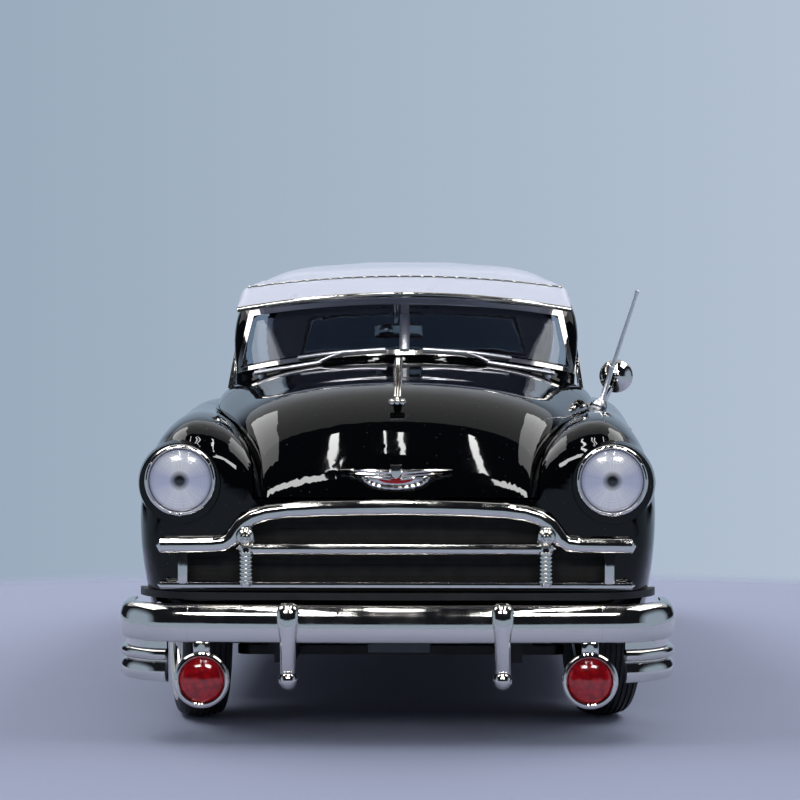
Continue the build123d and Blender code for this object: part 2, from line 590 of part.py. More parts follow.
def door_mirror():
    head = turned_y([(-2.6, 0), (-2.3, 1.6), (-1.3, 3.1), (0, 3.6), (0.3, 3.4), (0.3, 0)])
    stem = rod((41.9, -43.6, 60.4), (44.0, -44.0, 65.0), 0.8) - lower_hull(-SEAT_GAP)
    return Pos(45.2, -43.0, 66.9) * head + stem


def antenna():
    foot = Vector(40.0, -80.0, 60.9)
    tip = Vector(47.8, -80.0, 84.9)
    return (Pos(*foot) * Sphere(1.5) + rod(foot, tip, 0.4) + Pos(*tip) * Sphere(0.7)) - lower_hull(-SEAT_GAP)


def wipers():
    pivot = rod((30.0, -55.4, 66.0), (30.0, -55.4, 68.8), 0.9)
    arm = rod((30.0, -55.4, 68.5), (13.0, -54.6, 72.5), 0.4)
    blade = rod((22.5, -52.9, 71.4), (3.6, -55.2, 73.3), 0.45)
    return both((pivot + arm + blade) - lower_hull(-SEAT_GAP) - greenhouse(-0.75))


def hood_emblem():
    """A plain winged bar over a half-round dish."""
    wing = Polyline((-10.4, 50.6), (-2.6, 51.3), (0, 52.2), (2.6, 51.3), (10.4, 50.6), (3.6, 49.6), (-3.6, 49.6), close=True)
    dish = ThreePointArc((-6.2, 49.9), (0, 47.5), (6.2, 49.9)) + Line((6.2, 49.9), (-6.2, 49.9))
    return (along_y(wing, -133.0, -128) + along_y(dish, -132.4, -128)) - lower_hull(-SEAT_GAP)


def hood_ornament():
    """A slim rocket on a foot."""
    body = turned_y([(-9, 0), (-7, 0.9), (-3, 1.5), (3, 1.3), (9, 0.3), (9, 0)])
    fins = block((-0.45, 0.45), (1.5, 8.0), (0, 3.0))
    foot = block((-0.9, 0.9), (-4.5, 4.5), (-8, 0))
    return (Pos(0, -116, 69.0) * Rot(-6, 0, 0) * (body + fins + foot)) - lower_hull(-SEAT_GAP)


def lid_handle():
    return block((-4.5, 4.5), (128.6, 132.2), (41.0, 43.2)) - lower_hull(-SEAT_GAP)


def tail_lamps():
    place = Pos(TAIL_LAMP_X, 0, TAIL_LAMP_Z)
    ring = place * turned_y([(131.0, 0), (131.0, TAIL_LAMP_R), (134.0, TAIL_LAMP_R), (134.6, TAIL_LAMP_R - 0.6),
                             (134.0, TAIL_LAMP_R - 1.0), (132.8, TAIL_LAMP_R - 1.0), (132.8, 0)])
    tail = Rot(0, 0, 180) * dome(TAIL_LAMP_R - 1.05, 1.6, 1.2, 0)
    return both(ring - rear_fenders(-SEAT_GAP)), both(place * Pos(0, 134.1, 0) * tail)


# ---------------------------------------------------------------- chassis, drive and cabin
PAN_LOW, PAN_HIGH = 16.8, 18.2
FLOOR_LOW, FLOOR_HIGH = PAN_HIGH + SEAT_GAP, 19.7
KINGPIN_R, PIN_PLAY = 1.2, 0.15
KNUCKLE_LOW, KNUCKLE_HIGH = 14.3, 24.7
ARM_T = 1.8
TIE_ROD_Z = 15.2
WELL_X = 25.0           # inner side of the front wheel wells


def chassis():
    pan = lower_hull(SKIN + SEAT_GAP) & block((-60, 60), (-113, 118), (PAN_LOW, PAN_HIGH))
    wells = both(block((WELL_X, 60), (FRONT_AXLE_Y - 26, FRONT_AXLE_Y + 26), (0, 30))) \
        + both(block((34.6, 60), (REAR_AXLE_Y - 23, REAR_AXLE_Y + 23), (0, 30)))
    slots = block((-34.6, 34.6), (REAR_AXLE_Y - 6, REAR_AXLE_Y + 6), (0, 30)) + block((-3, 3), (-64, 70), (0, 30)) \
        + block((-14, 14), (-111, -63), (0, 30))
    rails = both(block((20, 24), (-113, -95), (12.8, PAN_LOW)) + block((20, 24), (-79, 56), (12.8, PAN_LOW)))
    members = block((-24, 24), (-36, -31), (13.2, PAN_LOW)) + block((-24, 24), (38, 43), (13.2, PAN_LOW))
    members = members - block((-13.6, -10.4), (-40, 50), (0, PAN_LOW - 0.6))
    low_arm = block((-KINGPIN_X, KINGPIN_X), (FRONT_AXLE_Y - 2.6, FRONT_AXLE_Y + 2.6),
                    (KNUCKLE_LOW - 0.1 - ARM_T, KNUCKLE_LOW - 0.1))
    tower = block((22.5, 26.4), (FRONT_AXLE_Y - 4, FRONT_AXLE_Y + 4), (KNUCKLE_LOW - 0.3, KNUCKLE_HIGH + 0.1 + ARM_T))
    high_arm = block((24, KINGPIN_X), (FRONT_AXLE_Y - 2.6, FRONT_AXLE_Y + 2.6), (KNUCKLE_HIGH + 0.1, KNUCKLE_HIGH + 0.1 + ARM_T))
    ends = [Pos(KINGPIN_X, FRONT_AXLE_Y, z + ARM_T / 2) * Cylinder(2.6, ARM_T)
            for z in (KNUCKLE_LOW - 0.1 - ARM_T, KNUCKLE_HIGH + 0.1)]
    arms = both(tower + high_arm + ends) + low_arm
    bores = both(Pos(KINGPIN_X, FRONT_AXLE_Y, 20) * Cylinder(KINGPIN_R + PIN_PLAY, 40))
    irons = both(block((18.6, 21.4), (-BUMPER_Y + 3.5, -109), (19.0, 20.6)) + block((18.6, 21.4), (-112.9, -109), (17, 20.6)))
    irons += mirror(irons, about=Plane.XZ)
    spring = leaf_spring()
    base = (pan - wells - slots) + rails + members + irons
    bosses = [Pos(0, y, 15.2) * Cylinder(BOSS_R, 5.6) + block((-8, 8), (y - 2.5, y + 2.5), (16.4, 18)) for y in BOSS_YS]
    holes = [Pos(0, y, 12.4 + BOSS_DEPTH / 2 - 0.5) * Cylinder(BOSS_BORE_R, BOSS_DEPTH + 1) for y in BOSS_YS]
    return (base + arms + both(spring) + bosses) - bores - holes


BOSS_YS = (-57.0, 46.0)
BOSS_R, BOSS_BORE_R, BOSS_DEPTH = 3.2, 1.3, 5.0


def leaf_spring():
    y, rise = REAR_AXLE_Y, 1.2
    outline = ThreePointArc((y - 26, PAN_LOW + 0.2), (y, 14.6), (y + 26, PAN_LOW + 0.2)) \
        + Line((y + 26, PAN_LOW + 0.2), (y + 26, PAN_LOW + 0.2 - rise)) \
        + ThreePointArc((y + 26, PAN_LOW + 0.2 - rise), (y, 14.6 - rise), (y - 26, PAN_LOW + 0.2 - rise)) \
        + Line((y - 26, PAN_LOW + 0.2 - rise), (y - 26, PAN_LOW + 0.2))
    return along_x(outline, 27, 30)


def rear_axle():
    tube = rod((-34.4, REAR_AXLE_Y, AXLE_Z), (34.4, REAR_AXLE_Y, AXLE_Z), 2.2)
    stubs = rod((-REAR_TRACK / 2 - 3.0, REAR_AXLE_Y, AXLE_Z), (REAR_TRACK / 2 + 3.0, REAR_AXLE_Y, AXLE_Z), AXLE_R)
    pads = both(block((27, 30), (REAR_AXLE_Y - 2.2, REAR_AXLE_Y + 2.2), (14.7, AXLE_Z)))
    case = Pos(0, REAR_AXLE_Y, AXLE_Z) * Sphere(5)
    shaft = rod((0, -68, 21.6), (0, REAR_AXLE_Y, AXLE_Z + 1.0), 1.3)
    return tube + stubs + pads + case + shaft


def exhaust():
    x, z = -12.0, 14.6
    pipe = rod((x, -69, z), (x, 130, z), 1.0)
    muffler = rod((x, -2, z), (x, 30, z), 1.0) + scale(rod((0, 0, 0), (0, 32, 0), 2.0), (1.4, 1, 0.9)).moved(Pos(x, -2, z - 0.4))
    down = rod((x, -68, z), (x, -76, 26), 1.0)
    hangers = [block((x - 0.8, x + 0.8), (y, y + 1.4), (z + 0.6, PAN_LOW - SEAT_GAP)) for y in (-40, 50, 100)]
    return pipe + muffler + down + hangers


def engine():
    """One block with its sump, head, cover and air cleaner."""
    lump = block((-9, 7), (-112, -72), (20, 40)) + block((-6.5, 6.5), (-108, -80), (40, 47)) \
        + block((-6, 6), (-108, -87), (KNUCKLE_LOW - 0.1 + SEAT_GAP, 20)) + block((-4, 4), (-72, -68.5), (20.3, 30)) \
        + block((-5, 5), (-106, -82), (47, 50)) + Pos(0, -94, 53) * Cylinder(6, 4) + Pos(0, -94, 50.5) * Cylinder(2, 3)
    fan = Pos(0, -113.4, 34) * Rot(90, 0, 0) * Cylinder(8, 1)
    return lump + fan + rod((0, -113, 34), (0, -111, 34), 1.5)


def trunk_tray():
    return block((-32, 32), (78, 108), (PAN_HIGH + SEAT_GAP, 19.6)) + block((-32, 32), (78, 79.2), (19, 44))


def interior_tub():
    floor = block((-38.2, 38.2), (-60.8, 46), (FLOOR_LOW, FLOOR_HIGH)) + block((-34.4, 34.4), (40, 52), (FLOOR_LOW, FLOOR_HIGH))
    tunnel = block((-5.2, 5.2), (-60.8, 52), (FLOOR_LOW, 25)) - block((-4, 4), (-60.8, 52), (FLOOR_LOW - 1, 23.8))
    cut = block((-4, 4), (-70, 60), (FLOOR_LOW - 1, 23.8))
    quarter = both(block((33.0, 34.4), (18, 52), (FLOOR_HIGH - 0.5, 58)) + block((33.0, 37.4), (18, 46), (56.8, 58)))
    bulkhead = block((-34.4, 34.4), (50.6, 52), (FLOOR_HIGH - 0.5, 60))
    shelf = block((-33, 33), (50.6, 63), (58.6, 60))
    return (floor + tunnel + quarter + bulkhead + shelf) - cut


def seat(y_front, y_back, cushion_z, top_z, half):
    """A bench: cushion and back as one upholstered piece on a base."""
    base = block((-half + 3, half - 3), (y_front + 3, y_back), (FLOOR_HIGH + SEAT_GAP, cushion_z - 5)) \
        - block((-5.6, 5.6), (y_front - 5, y_back + 5), (FLOOR_HIGH, 25.4))
    cushion = fillet(block((-half, half), (y_front, y_back), (cushion_z - 6, cushion_z)).edges(), 1.8)
    lean = Pos(0, y_back - 2.5, cushion_z - 4) * Rot(-9, 0, 0)
    back = lean * fillet(block((-half, half), (-3, 3), (0, top_z - cushion_z + 4)).edges(), 1.8)
    return base + cushion + back


def dashboard():
    outline = ThreePointArc((-60.8, 60.0), (-54, 65.0), (-46.4, 63.4)) + Polyline((-46.4, 63.4), (-45.0, 60), (-46.5, 53.5),
                                                                               (-49, 53.5), (-60.8, 53.5), (-60.8, 60.0))
    return along_x(outline, -35.5, 35.5) & lower_hull(SKIN + 2 * SEAT_GAP)


def steering_wheel():
    hub = Vector(18.5, -29.0, 56.0)
    foot = hub + Vector(0, -31.8, -17.0) * 0.97
    column = rod(hub, foot, 1.0)
    at = Plane(origin=hub, z_dir=hub - foot)
    rim = at * Torus(10.5, 0.65)
    spokes = [at * Rot(0, 0, a) * Pos(5.2, 0, 0) * Box(10.5, 1.2, 0.7) for a in (90, 210, 330)]
    return column + rim + spokes + at * Cylinder(2.2, 1.4)


def cabin_mirror():
    return block((-6.6, 2.6), (-42.6, -41.4), (74.6, 78.4)) + rod((-2, -42.0, 76), (-2, -41.0, 83.0), 0.5)


# ---------------------------------------------------------------- wheels and steering
def tyre():
    outline = Line((-3.6, RIM_R), (3.6, RIM_R)) + ThreePointArc((3.6, RIM_R), (TYRE_W / 2, 15.4), (4.0, 18.7)) \
        + ThreePointArc((4.0, 18.7), (0, TYRE_R), (-4.0, 18.7)) + ThreePointArc((-4.0, 18.7), (-TYRE_W / 2, 15.4), (-3.6, RIM_R))
    return revolve(Plane.XZ * make_face(outline), Axis.X)


def wheel():
    """Rim, disc and hub cap in one, open behind, with a blind bore for the axle. The outer face looks to +X."""
    rim, bore = RIM_R - SEAT_GAP, AXLE_R + PIN_PLAY
    return turned_x([(-3.8, bore), (-3.8, 4.0), (1.2, 4.4), (1.6, 9.4), (-3.8, 10.4), (-3.8, rim), (3.8, rim), (4.4, rim - 0.2),
                     (4.4, rim - 0.8), (3.2, rim - 1.4), (2.8, 8.4), (3.6, 7.6), (4.4, 7.2), (5.0, 5.2), (5.4, 2.6), (5.5, 0),
                     (3.3, 0), (3.3, bore)])


def parked(shape, side):
    """Turn a piece of the straight-ahead front corner with the steering."""
    pivot = Pos(side * KINGPIN_X, FRONT_AXLE_Y, 0)
    return pivot * Rot(0, 0, STEER_PARKED) * Pos(-side * KINGPIN_X, -FRONT_AXLE_Y, 0) * shape


def knuckle():
    """The left one, straight ahead: kingpin, stub axle and steering arm."""
    x, y = KINGPIN_X, FRONT_AXLE_Y
    post = Pos(x, y, (KNUCKLE_LOW + KNUCKLE_HIGH) / 2) * Cylinder(2.3, KNUCKLE_HIGH - KNUCKLE_LOW)
    pin = Pos(x, y, (KNUCKLE_LOW + KNUCKLE_HIGH) / 2) * Cylinder(KINGPIN_R, KNUCKLE_HIGH - KNUCKLE_LOW + 3.4)
    stub = rod((x, y, AXLE_Z), (FRONT_TRACK / 2 + 3.0, y, AXLE_Z), AXLE_R)
    arm = block((x - 1.3, x + 1.3), (y, y + STEER_ARM), (16.3, 17.9)) + Pos(x, y + STEER_ARM, 17.1) * Cylinder(1.3, 1.6)
    peg = Pos(x, y + STEER_ARM, 15.6) * Cylinder(0.7, 2.6)
    return post + pin + stub + arm + peg


def tie_rod():
    """It follows the arms' pegs sideways. Its slotted eyes take up their small swing fore and aft."""
    swing = STEER_ARM * (1 - cos(radians(STEER_LOCK)))
    y = FRONT_AXLE_Y + STEER_ARM - swing / 2
    shift = -STEER_ARM * sin(radians(STEER_PARKED))
    bar = block((-KINGPIN_X, KINGPIN_X), (y - 0.8, y + 0.8), (TIE_ROD_Z - 0.7, TIE_ROD_Z + 0.7))
    eye = Pos(KINGPIN_X, y, TIE_ROD_Z) * Cylinder(2.2, 1.4)
    slot = Pos(KINGPIN_X, y, TIE_ROD_Z) * Box(1.8, swing + 1.8, 5)
    return Pos(shift, 0, 0) * (bar + both(eye) - both(slot))


def wheels():
    front = Pos(FRONT_TRACK / 2, FRONT_AXLE_Y, AXLE_Z)
    rear = Pos(REAR_TRACK / 2, REAR_AXLE_Y, AXLE_Z)
    for kind, shape in (("tyre", tyre()), ("wheel", wheel())):
        corner = front * shape
        save(f"{kind}_front_left", parked(corner, 1))
        save(f"{kind}_front_right", parked(mirror(corner, about=Plane.YZ), -1))
        save(f"{kind}_rear_left", rear * shape)
        save(f"{kind}_rear_right", mirror(rear * shape, about=Plane.YZ))
    save("knuckle_left", parked(knuckle(), 1))
    save("knuckle_right", parked(mirror(knuckle(), about=Plane.YZ), -1))
    save("tie_rod", tie_rod())


def fixed_pieces():
    windshield_frame, windshield_glass = framed_window(windshield_outline, -80, WINDSHIELD_END_Y, 0.9)
    rear_frame, rear_glass = framed_window(rear_window_outline, 28, 90, 0)
    tail_bezels, tail_lenses = tail_lamps()
    front_bumper = bumper()
    return {
        "windshield_frame": windshield_frame, "windshield_glass": windshield_glass,
        "rear_window_frame": rear_frame, "rear_window_glass": rear_glass,
        "visor": visor(), "visor_trim": visor_trim(),
        "grille": grille(), "grille_screen": grille_screen(), "gravel_pan": gravel_pan(),
        "front_bumper": front_bumper, "rear_bumper": mirror(front_bumper, about=Plane.XZ),
        "fog_lamps": both(fog_lamp()),
        "fog_lenses": both(Pos(FOG_X, FOG_Y, FOG_Z) * dome(4.15, 1.3, 1.2, 0.2)),
        "headlamp_rings": both(headlamp_ring()), "headlamp_lenses": both(headlamp_lens()),
        "tail_lamp_bezels": tail_bezels, "tail_lamp_lenses": tail_lenses,
        "side_trim": side_trim(), "antenna": antenna(), "wipers": wipers(),
        "chassis": chassis(), "rear_axle": rear_axle(), "exhaust": exhaust(), "engine": engine(),
        "interior_tub": interior_tub(), "trunk_tray": trunk_tray(),
        "front_seat": seat(-17, 10, 35, 62, 33), "rear_seat": seat(25, 44.5, 35, 60, 32),
        "dashboard": dashboard(), "steering_wheel": steering_wheel(), "cabin_mirror": cabin_mirror(),
    }


def main():
    os.makedirs("parts", exist_ok=True)
    shell, roof, hood, door, lid = body_pieces()
    pieces = {"body_shell": shell, "roof_shell": roof, "hood": hood, "trunk_lid": lid}
    pieces.update(fixed_pieces())
    pieces.update({"hood_emblem": hood_emblem(), "hood_ornament": hood_ornament(), "lid_handle": lid_handle()})
    trim, card = door_trim(), door_card()
    for side, shape in (("left", door), ("right", mirror(door, about=Plane.YZ))):
        pieces[f"door_{side}"] = shape
    for side, flip in (("left", False), ("right", True)):
        pieces[f"door_trim_{side}"] = mirror(trim, about=Plane.YZ) if flip else trim
        pieces[f"door_card_{side}"] = mirror(card, about=Plane.YZ) if flip else card
    pieces["door_mirror"] = door_mirror()
    for name, shape in pieces.items():
        save(name, shape)
    wheels()


if __name__ == "__main__":
    main()
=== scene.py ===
"""Finish and fine detail of a 1:18 model car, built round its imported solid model."""

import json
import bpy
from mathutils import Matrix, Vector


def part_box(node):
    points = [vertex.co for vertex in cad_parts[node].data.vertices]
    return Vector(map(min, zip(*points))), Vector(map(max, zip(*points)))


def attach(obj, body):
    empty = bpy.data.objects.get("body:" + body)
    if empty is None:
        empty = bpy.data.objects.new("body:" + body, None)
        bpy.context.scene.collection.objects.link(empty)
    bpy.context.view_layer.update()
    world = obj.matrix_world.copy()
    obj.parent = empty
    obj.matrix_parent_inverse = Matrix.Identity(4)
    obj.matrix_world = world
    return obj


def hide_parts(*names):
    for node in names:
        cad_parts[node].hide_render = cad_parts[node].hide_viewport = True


bl_info = {
    "name": "Model Car Finish",
    "version": (1, 0, 0),
    "blender": (4, 5, 0),
    "location": "View3D > Sidebar > Model Car",
    "description": "Enamel, plating, glazing, rubber and fine detail for a 1:18 hardtop",
    "category": "Object",
}

from math import copysign, cos, pi, radians, sin

import bmesh
import bpy
from mathutils import Matrix, Vector

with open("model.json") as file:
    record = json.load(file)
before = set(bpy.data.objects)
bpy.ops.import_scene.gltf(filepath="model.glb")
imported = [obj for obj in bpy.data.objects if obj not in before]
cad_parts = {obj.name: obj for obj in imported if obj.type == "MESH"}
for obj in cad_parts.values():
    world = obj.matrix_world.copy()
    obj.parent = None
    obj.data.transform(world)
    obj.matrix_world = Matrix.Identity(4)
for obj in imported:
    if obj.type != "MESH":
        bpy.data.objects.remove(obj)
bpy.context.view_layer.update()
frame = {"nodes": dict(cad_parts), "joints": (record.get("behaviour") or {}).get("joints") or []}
MM = 0.001
UP, DOWN, FRONT, REAR = (0, 0, 1), (0, 0, -1), (0, -1, 0), (0, 1, 0)

# ---------------------------------------------------------------- main places and sizes, in millimetres
TYRE_R, BEAD_R = 19.5, 11.6
WHEEL_SPOTS = [("front_left", 1), ("front_right", -1), ("rear_left", 1), ("rear_right", -1)]
LAMP_X, LAMP_Y, LAMP_Z = 40.5, -132.0, 49.2
FOG_X, FOG_Y, FOG_Z = 36.3, -136.2, 12.0
TAIL_X, TAIL_Y, TAIL_Z = 39.6, 133.0, 37.0
GRILLE_Y = -131.0
BUMPER_HALF, BUMPER_FACE, BUMPER_END, BUMPER_Z = 52.9, 138.4, 117.0, 22.8
BUMPER_SEAM_X, GUARD_X = 39.0, 20.0
CORNER_R, SWEEP = 13.0, radians(6.6)  # a bumper's round corner, and how far its face sweeps back
VISOR_HALF = 33.0
GUTTER_Z, PILLAR_Y = 82.6, -20.4  # the roof's white starts above the one and behind the other
ORNAMENT_Y, ORNAMENT_Z = -116.0, 63.0
MIRROR = (45.2, -43.0, 66.9)
DASH_Y = -46.0
STEERING_HUB, STEERING_AXIS = Vector((18.5, -29.0, 56.0)), Vector((0, 0.88188, 0.47147))
CARD_X = 40.9  # inner face of a door card
FAN_Y, FAN_Z = -114.0, 34.0
SPRING_X, SPRING_Y = 28.5, 70.5
EXHAUST_X = -12.0
HOUSE_X, HOUSE_WIDE, HOUSE_THICK = 39.4, 14.0, 0.5
HOUSE_ARC = {"front": (24.8, 18), "rear": (22.9, -4)}  # radius, and degrees over the axle where it starts


# ---------------------------------------------------------------- colours and shader nodes
def linear(code):
    """An sRGB hex colour as the linear values that a shader wants."""
    parts = [int(code[i:i + 2], 16) / 255 for i in (1, 3, 5)]
    return (*[c / 12.92 if c <= 0.04045 else ((c + 0.055) / 1.055) ** 2.4 for c in parts], 1.0)


def tone(colour):
    """A hex code, a colour property or a socket, as a colour input takes it."""
    if isinstance(colour, str):
        return linear(colour)
    return colour if isinstance(colour, bpy.types.NodeSocket) else (*colour[:3], 1.0)


def add(tree, kind, inputs=None, **settings):
    """Adds one node. Settings are its properties; inputs are values, or sockets that feed it."""
    made = tree.nodes.new(kind)
    for name, value in settings.items():
        setattr(made, name, value)
    by_key = {s.identifier: s for s in made.inputs}
    for name, value in (inputs or {}).items():
        socket = made.inputs[name] if isinstance(name, int) else by_key.get(name) or made.inputs[name]
        if isinstance(value, bpy.types.NodeSocket):
            tree.links.new(value, socket)
        else:
            socket.default_value = value
    return made


def start(name, rough, metallic=0.0, **more):
    """A new material: its tree, its shader with the plain values set, and its Object coordinates."""
    material = bpy.data.materials.new(name)
    material.use_nodes = True
    tree = material.node_tree
    shader = tree.nodes["Principled BSDF"]
    shader.inputs["Roughness"].default_value = rough
    shader.inputs["Metallic"].default_value = metallic
    for key, value in more.items():
        shader.inputs[key.replace("_", " ")].default_value = value
    return material, tree, shader, add(tree, "ShaderNodeTexCoord").outputs["Object"]


def noise(tree, place, size_mm, detail=2.0):
    """Noise whose features are about this many millimetres wide."""
    return add(tree, "ShaderNodeTexNoise", {"Vector": place, "Scale": 1 / (size_mm * MM),
                                            "Detail": detail}).outputs["Fac"]


def remap(tree, value, low, high, out_low=0.0, out_high=1.0, **settings):
    """A value whose range from low to high becomes the range from out_low to out_high, and ends there."""
    ranges = {"Value": value, "From Min": low, "From Max": high, "To Min": out_low, "To Max": out_high}
    return add(tree, "ShaderNodeMapRange", ranges, **settings).outputs["Result"]


def two_tone(tree, factor, first, second):
    """A colour between two, by a factor. Each is a hex code or a socket."""
    first, second = (tone(c) for c in (first, second))
    mixed = add(tree, "ShaderNodeMix", {"Factor_Float": factor, "A_Color": first, "B_Color": second},
                data_type="RGBA")
    return next(s for s in mixed.outputs if s.identifier == "Result_Color")


def relief(tree, shader, height, depth_mm):
    """Makes the surface look raised by a height between 0 and 1, of this depth."""
    made = add(tree, "ShaderNodeBump", {"Height": height, "Distance": depth_mm * MM})
    tree.links.new(made.outputs["Normal"], shader.inputs["Normal"])


def along(tree, place, axis):
    """One coordinate of the place, 0 to 2 for X to Z."""
    return add(tree, "ShaderNodeSeparateXYZ", {"Vector": place}).outputs[axis]


# ---------------------------------------------------------------- finishes
def enamel(name, colour, dust, dusty, rough=0.025):
    """Sprayed enamel on die-cast zinc: deep or satin gloss, faint spray ripple and a few specks of dust."""
    material, tree, shader, place = start(name, rough, IOR=1.4)
    specks = remap(tree, noise(tree, place, 0.35, 0.0), 0.845, 0.87, 0.0, dusty)
    tree.links.new(two_tone(tree, specks, colour, dust), shader.inputs["Base Color"])
    tree.links.new(remap(tree, noise(tree, place, 14.0), 0.35, 0.7, rough * 0.85, rough * 1.25),
                   shader.inputs["Roughness"])
    relief(tree, shader, noise(tree, place, 1.8, 1.0), 0.003)
    return material


def pillar_enamel(name, colour, dust, dusty, rough, pillar):
    """The white roof enamel, with the front pillars sprayed in the body's colour below the gutter."""
    material = enamel(name, colour, dust, dusty, rough)
    tree = material.node_tree
    place = add(tree, "ShaderNodeTexCoord").outputs["Object"]
    low = remap(tree, along(tree, place, 2), GUTTER_Z * MM, (GUTTER_Z + 0.3) * MM, 1.0, 0.0)
    front = remap(tree, along(tree, place, 1), PILLAR_Y * MM, (PILLAR_Y + 0.2) * MM, 1.0, 0.0)
    mask = add(tree, "ShaderNodeMath", {0: low, 1: front}, operation="MULTIPLY").outputs[0]
    base = tree.nodes["Principled BSDF"].inputs["Base Color"]
    tree.links.new(two_tone(tree, mask, base.links[0].from_socket, pillar), base)
    return material


def plated(name, colour, rough):
    """Vacuum-plated ABS: mirror bright, with the soft pebbling and smudges of thin plating."""
    material, tree, shader, place = start(name, rough, 1.0)
    shader.inputs["Base Color"].default_value = linear(colour)
    tree.links.new(remap(tree, noise(tree, place, 5.0), 0.4, 0.75, rough, rough + 0.12),
                   shader.inputs["Roughness"])
    relief(tree, shader, noise(tree, place, 1.2), 0.008)
    return material


def acrylic(name, colour, rough):
    """Clear or tinted moulded acrylic sheet: very slightly uneven, with a hard clean gloss."""
    material, tree, shader, place = start(name, rough, IOR=1.49, Transmission_Weight=1.0)
    haze = remap(tree, noise(tree, place, 6.0), 0.35, 0.7, rough, rough + 0.02)
    shader.inputs["Base Color"].default_value = linear(colour)
    tree.links.new(haze, shader.inputs["Roughness"])
    relief(tree, shader, noise(tree, place, 9.0), 0.002)
    return material


def moulded(name, colours, rough, grain_mm, depth_mm, metallic=0.0):
    """Moulded or painted plastic: satin, with slow shifts of tone and the fine texture of its mould."""
    material, tree, shader, place = start(name, rough, metallic)
    tree.links.new(two_tone(tree, remap(tree, noise(tree, place, 9.0), 0.35, 0.65), *colours),
                   shader.inputs["Base Color"])
    tree.links.new(remap(tree, noise(tree, place, 3.0), 0.3, 0.7, rough - 0.06, rough + 0.06),
                   shader.inputs["Roughness"])
    relief(tree, shader, noise(tree, place, grain_mm), depth_mm)
    return material


def off_centre(tree, place, centre_mm):
    """Which way and how far a point lies, in front view, from a lamp's centre or from that of its twin."""
    x, z = along(tree, place, 0), along(tree, place, 2)
    away = add(tree, "ShaderNodeMath", {0: x}, operation="ABSOLUTE").outputs[0]
    flat = add(tree, "ShaderNodeCombineXYZ", {"X": away, "Z": z}).outputs[0]
    centre = (centre_mm[0] * MM, 0, centre_mm[1] * MM)
    off = add(tree, "ShaderNodeVectorMath", {0: flat, 1: centre}, operation="SUBTRACT").outputs[0]
    return off, add(tree, "ShaderNodeVectorMath", {0: off}, operation="LENGTH").outputs["Value"]


def lamp_lens(name, colour):
    """Frosted moulded acrylic: a pale disc with fine turned rings, faint flutes and a darker middle, with a
    painted highlight above and below the middle and painted shade at the edge.
    """
    material, tree, shader, place = start(name, 0.16, IOR=1.49, Coat_Weight=1.0, Coat_Roughness=0.03)
    off, radius = off_centre(tree, place, (LAMP_X, LAMP_Z))
    x, z = along(tree, off, 0), along(tree, off, 2)
    angle = add(tree, "ShaderNodeMath", {0: z, 1: x}, operation="ARCTAN2").outputs[0]
    rings = add(tree, "ShaderNodeTexNoise", {"W": radius, "Scale": 1 / (0.28 * MM), "Detail": 3.0},
                noise_dimensions="1D").outputs["Fac"]
    flutes = add(tree, "ShaderNodeTexNoise", {"W": angle, "Scale": 9.0, "Detail": 4.0},
                 noise_dimensions="1D").outputs["Fac"]
    both = add(tree, "ShaderNodeMath", {0: rings, 1: flutes}, operation="ADD").outputs[0]
    # painted highlight: the lens is paler above and below its middle and greyer at its sides; colour is the
    # highlight's tone
    height = add(tree, "ShaderNodeMath", {0: angle}, operation="SINE").outputs[0]
    fan = add(tree, "ShaderNodeMath", {0: height}, operation="ABSOLUTE").outputs[0]
    painted_highlight_tone = two_tone(tree, remap(tree, fan, 0.2, 0.9), "#CDD2E8", colour)
    body = two_tone(tree, remap(tree, both, 0.7, 1.3, 0.3, 0.0), painted_highlight_tone, "#AEB3CE")
    # painted shade: the lens is darker at its edge, next to the plated ring
    rim = two_tone(tree, remap(tree, radius, 5.1 * MM, 5.9 * MM), body, "#A8ADC8")
    # the lens is darker in its middle
    with_dark_middle = two_tone(tree, remap(tree, radius, 0.8 * MM, 2.0 * MM), "#1C1D25", rim)
    tree.links.new(with_dark_middle, shader.inputs["Base Color"])
    relief(tree, shader, both, 0.012)
    return material


def signal_lens(name, colour):
    """Red moulded acrylic with pebbled facets inside, so it glints unevenly."""
    material, tree, shader, place = start(name, 0.1, IOR=1.49, Transmission_Weight=0.35, Coat_Weight=1.0,
                                          Coat_Roughness=0.03)
    cells = add(tree, "ShaderNodeTexVoronoi", {"Vector": place, "Scale": 1 / (1.1 * MM)}).outputs["Distance"]
    tree.links.new(two_tone(tree, remap(tree, cells, 0.25, 0.75), colour, "#9A0C18"),
                   shader.inputs["Base Color"])
    relief(tree, shader, cells, 0.04)
    return material


FINISH = {}


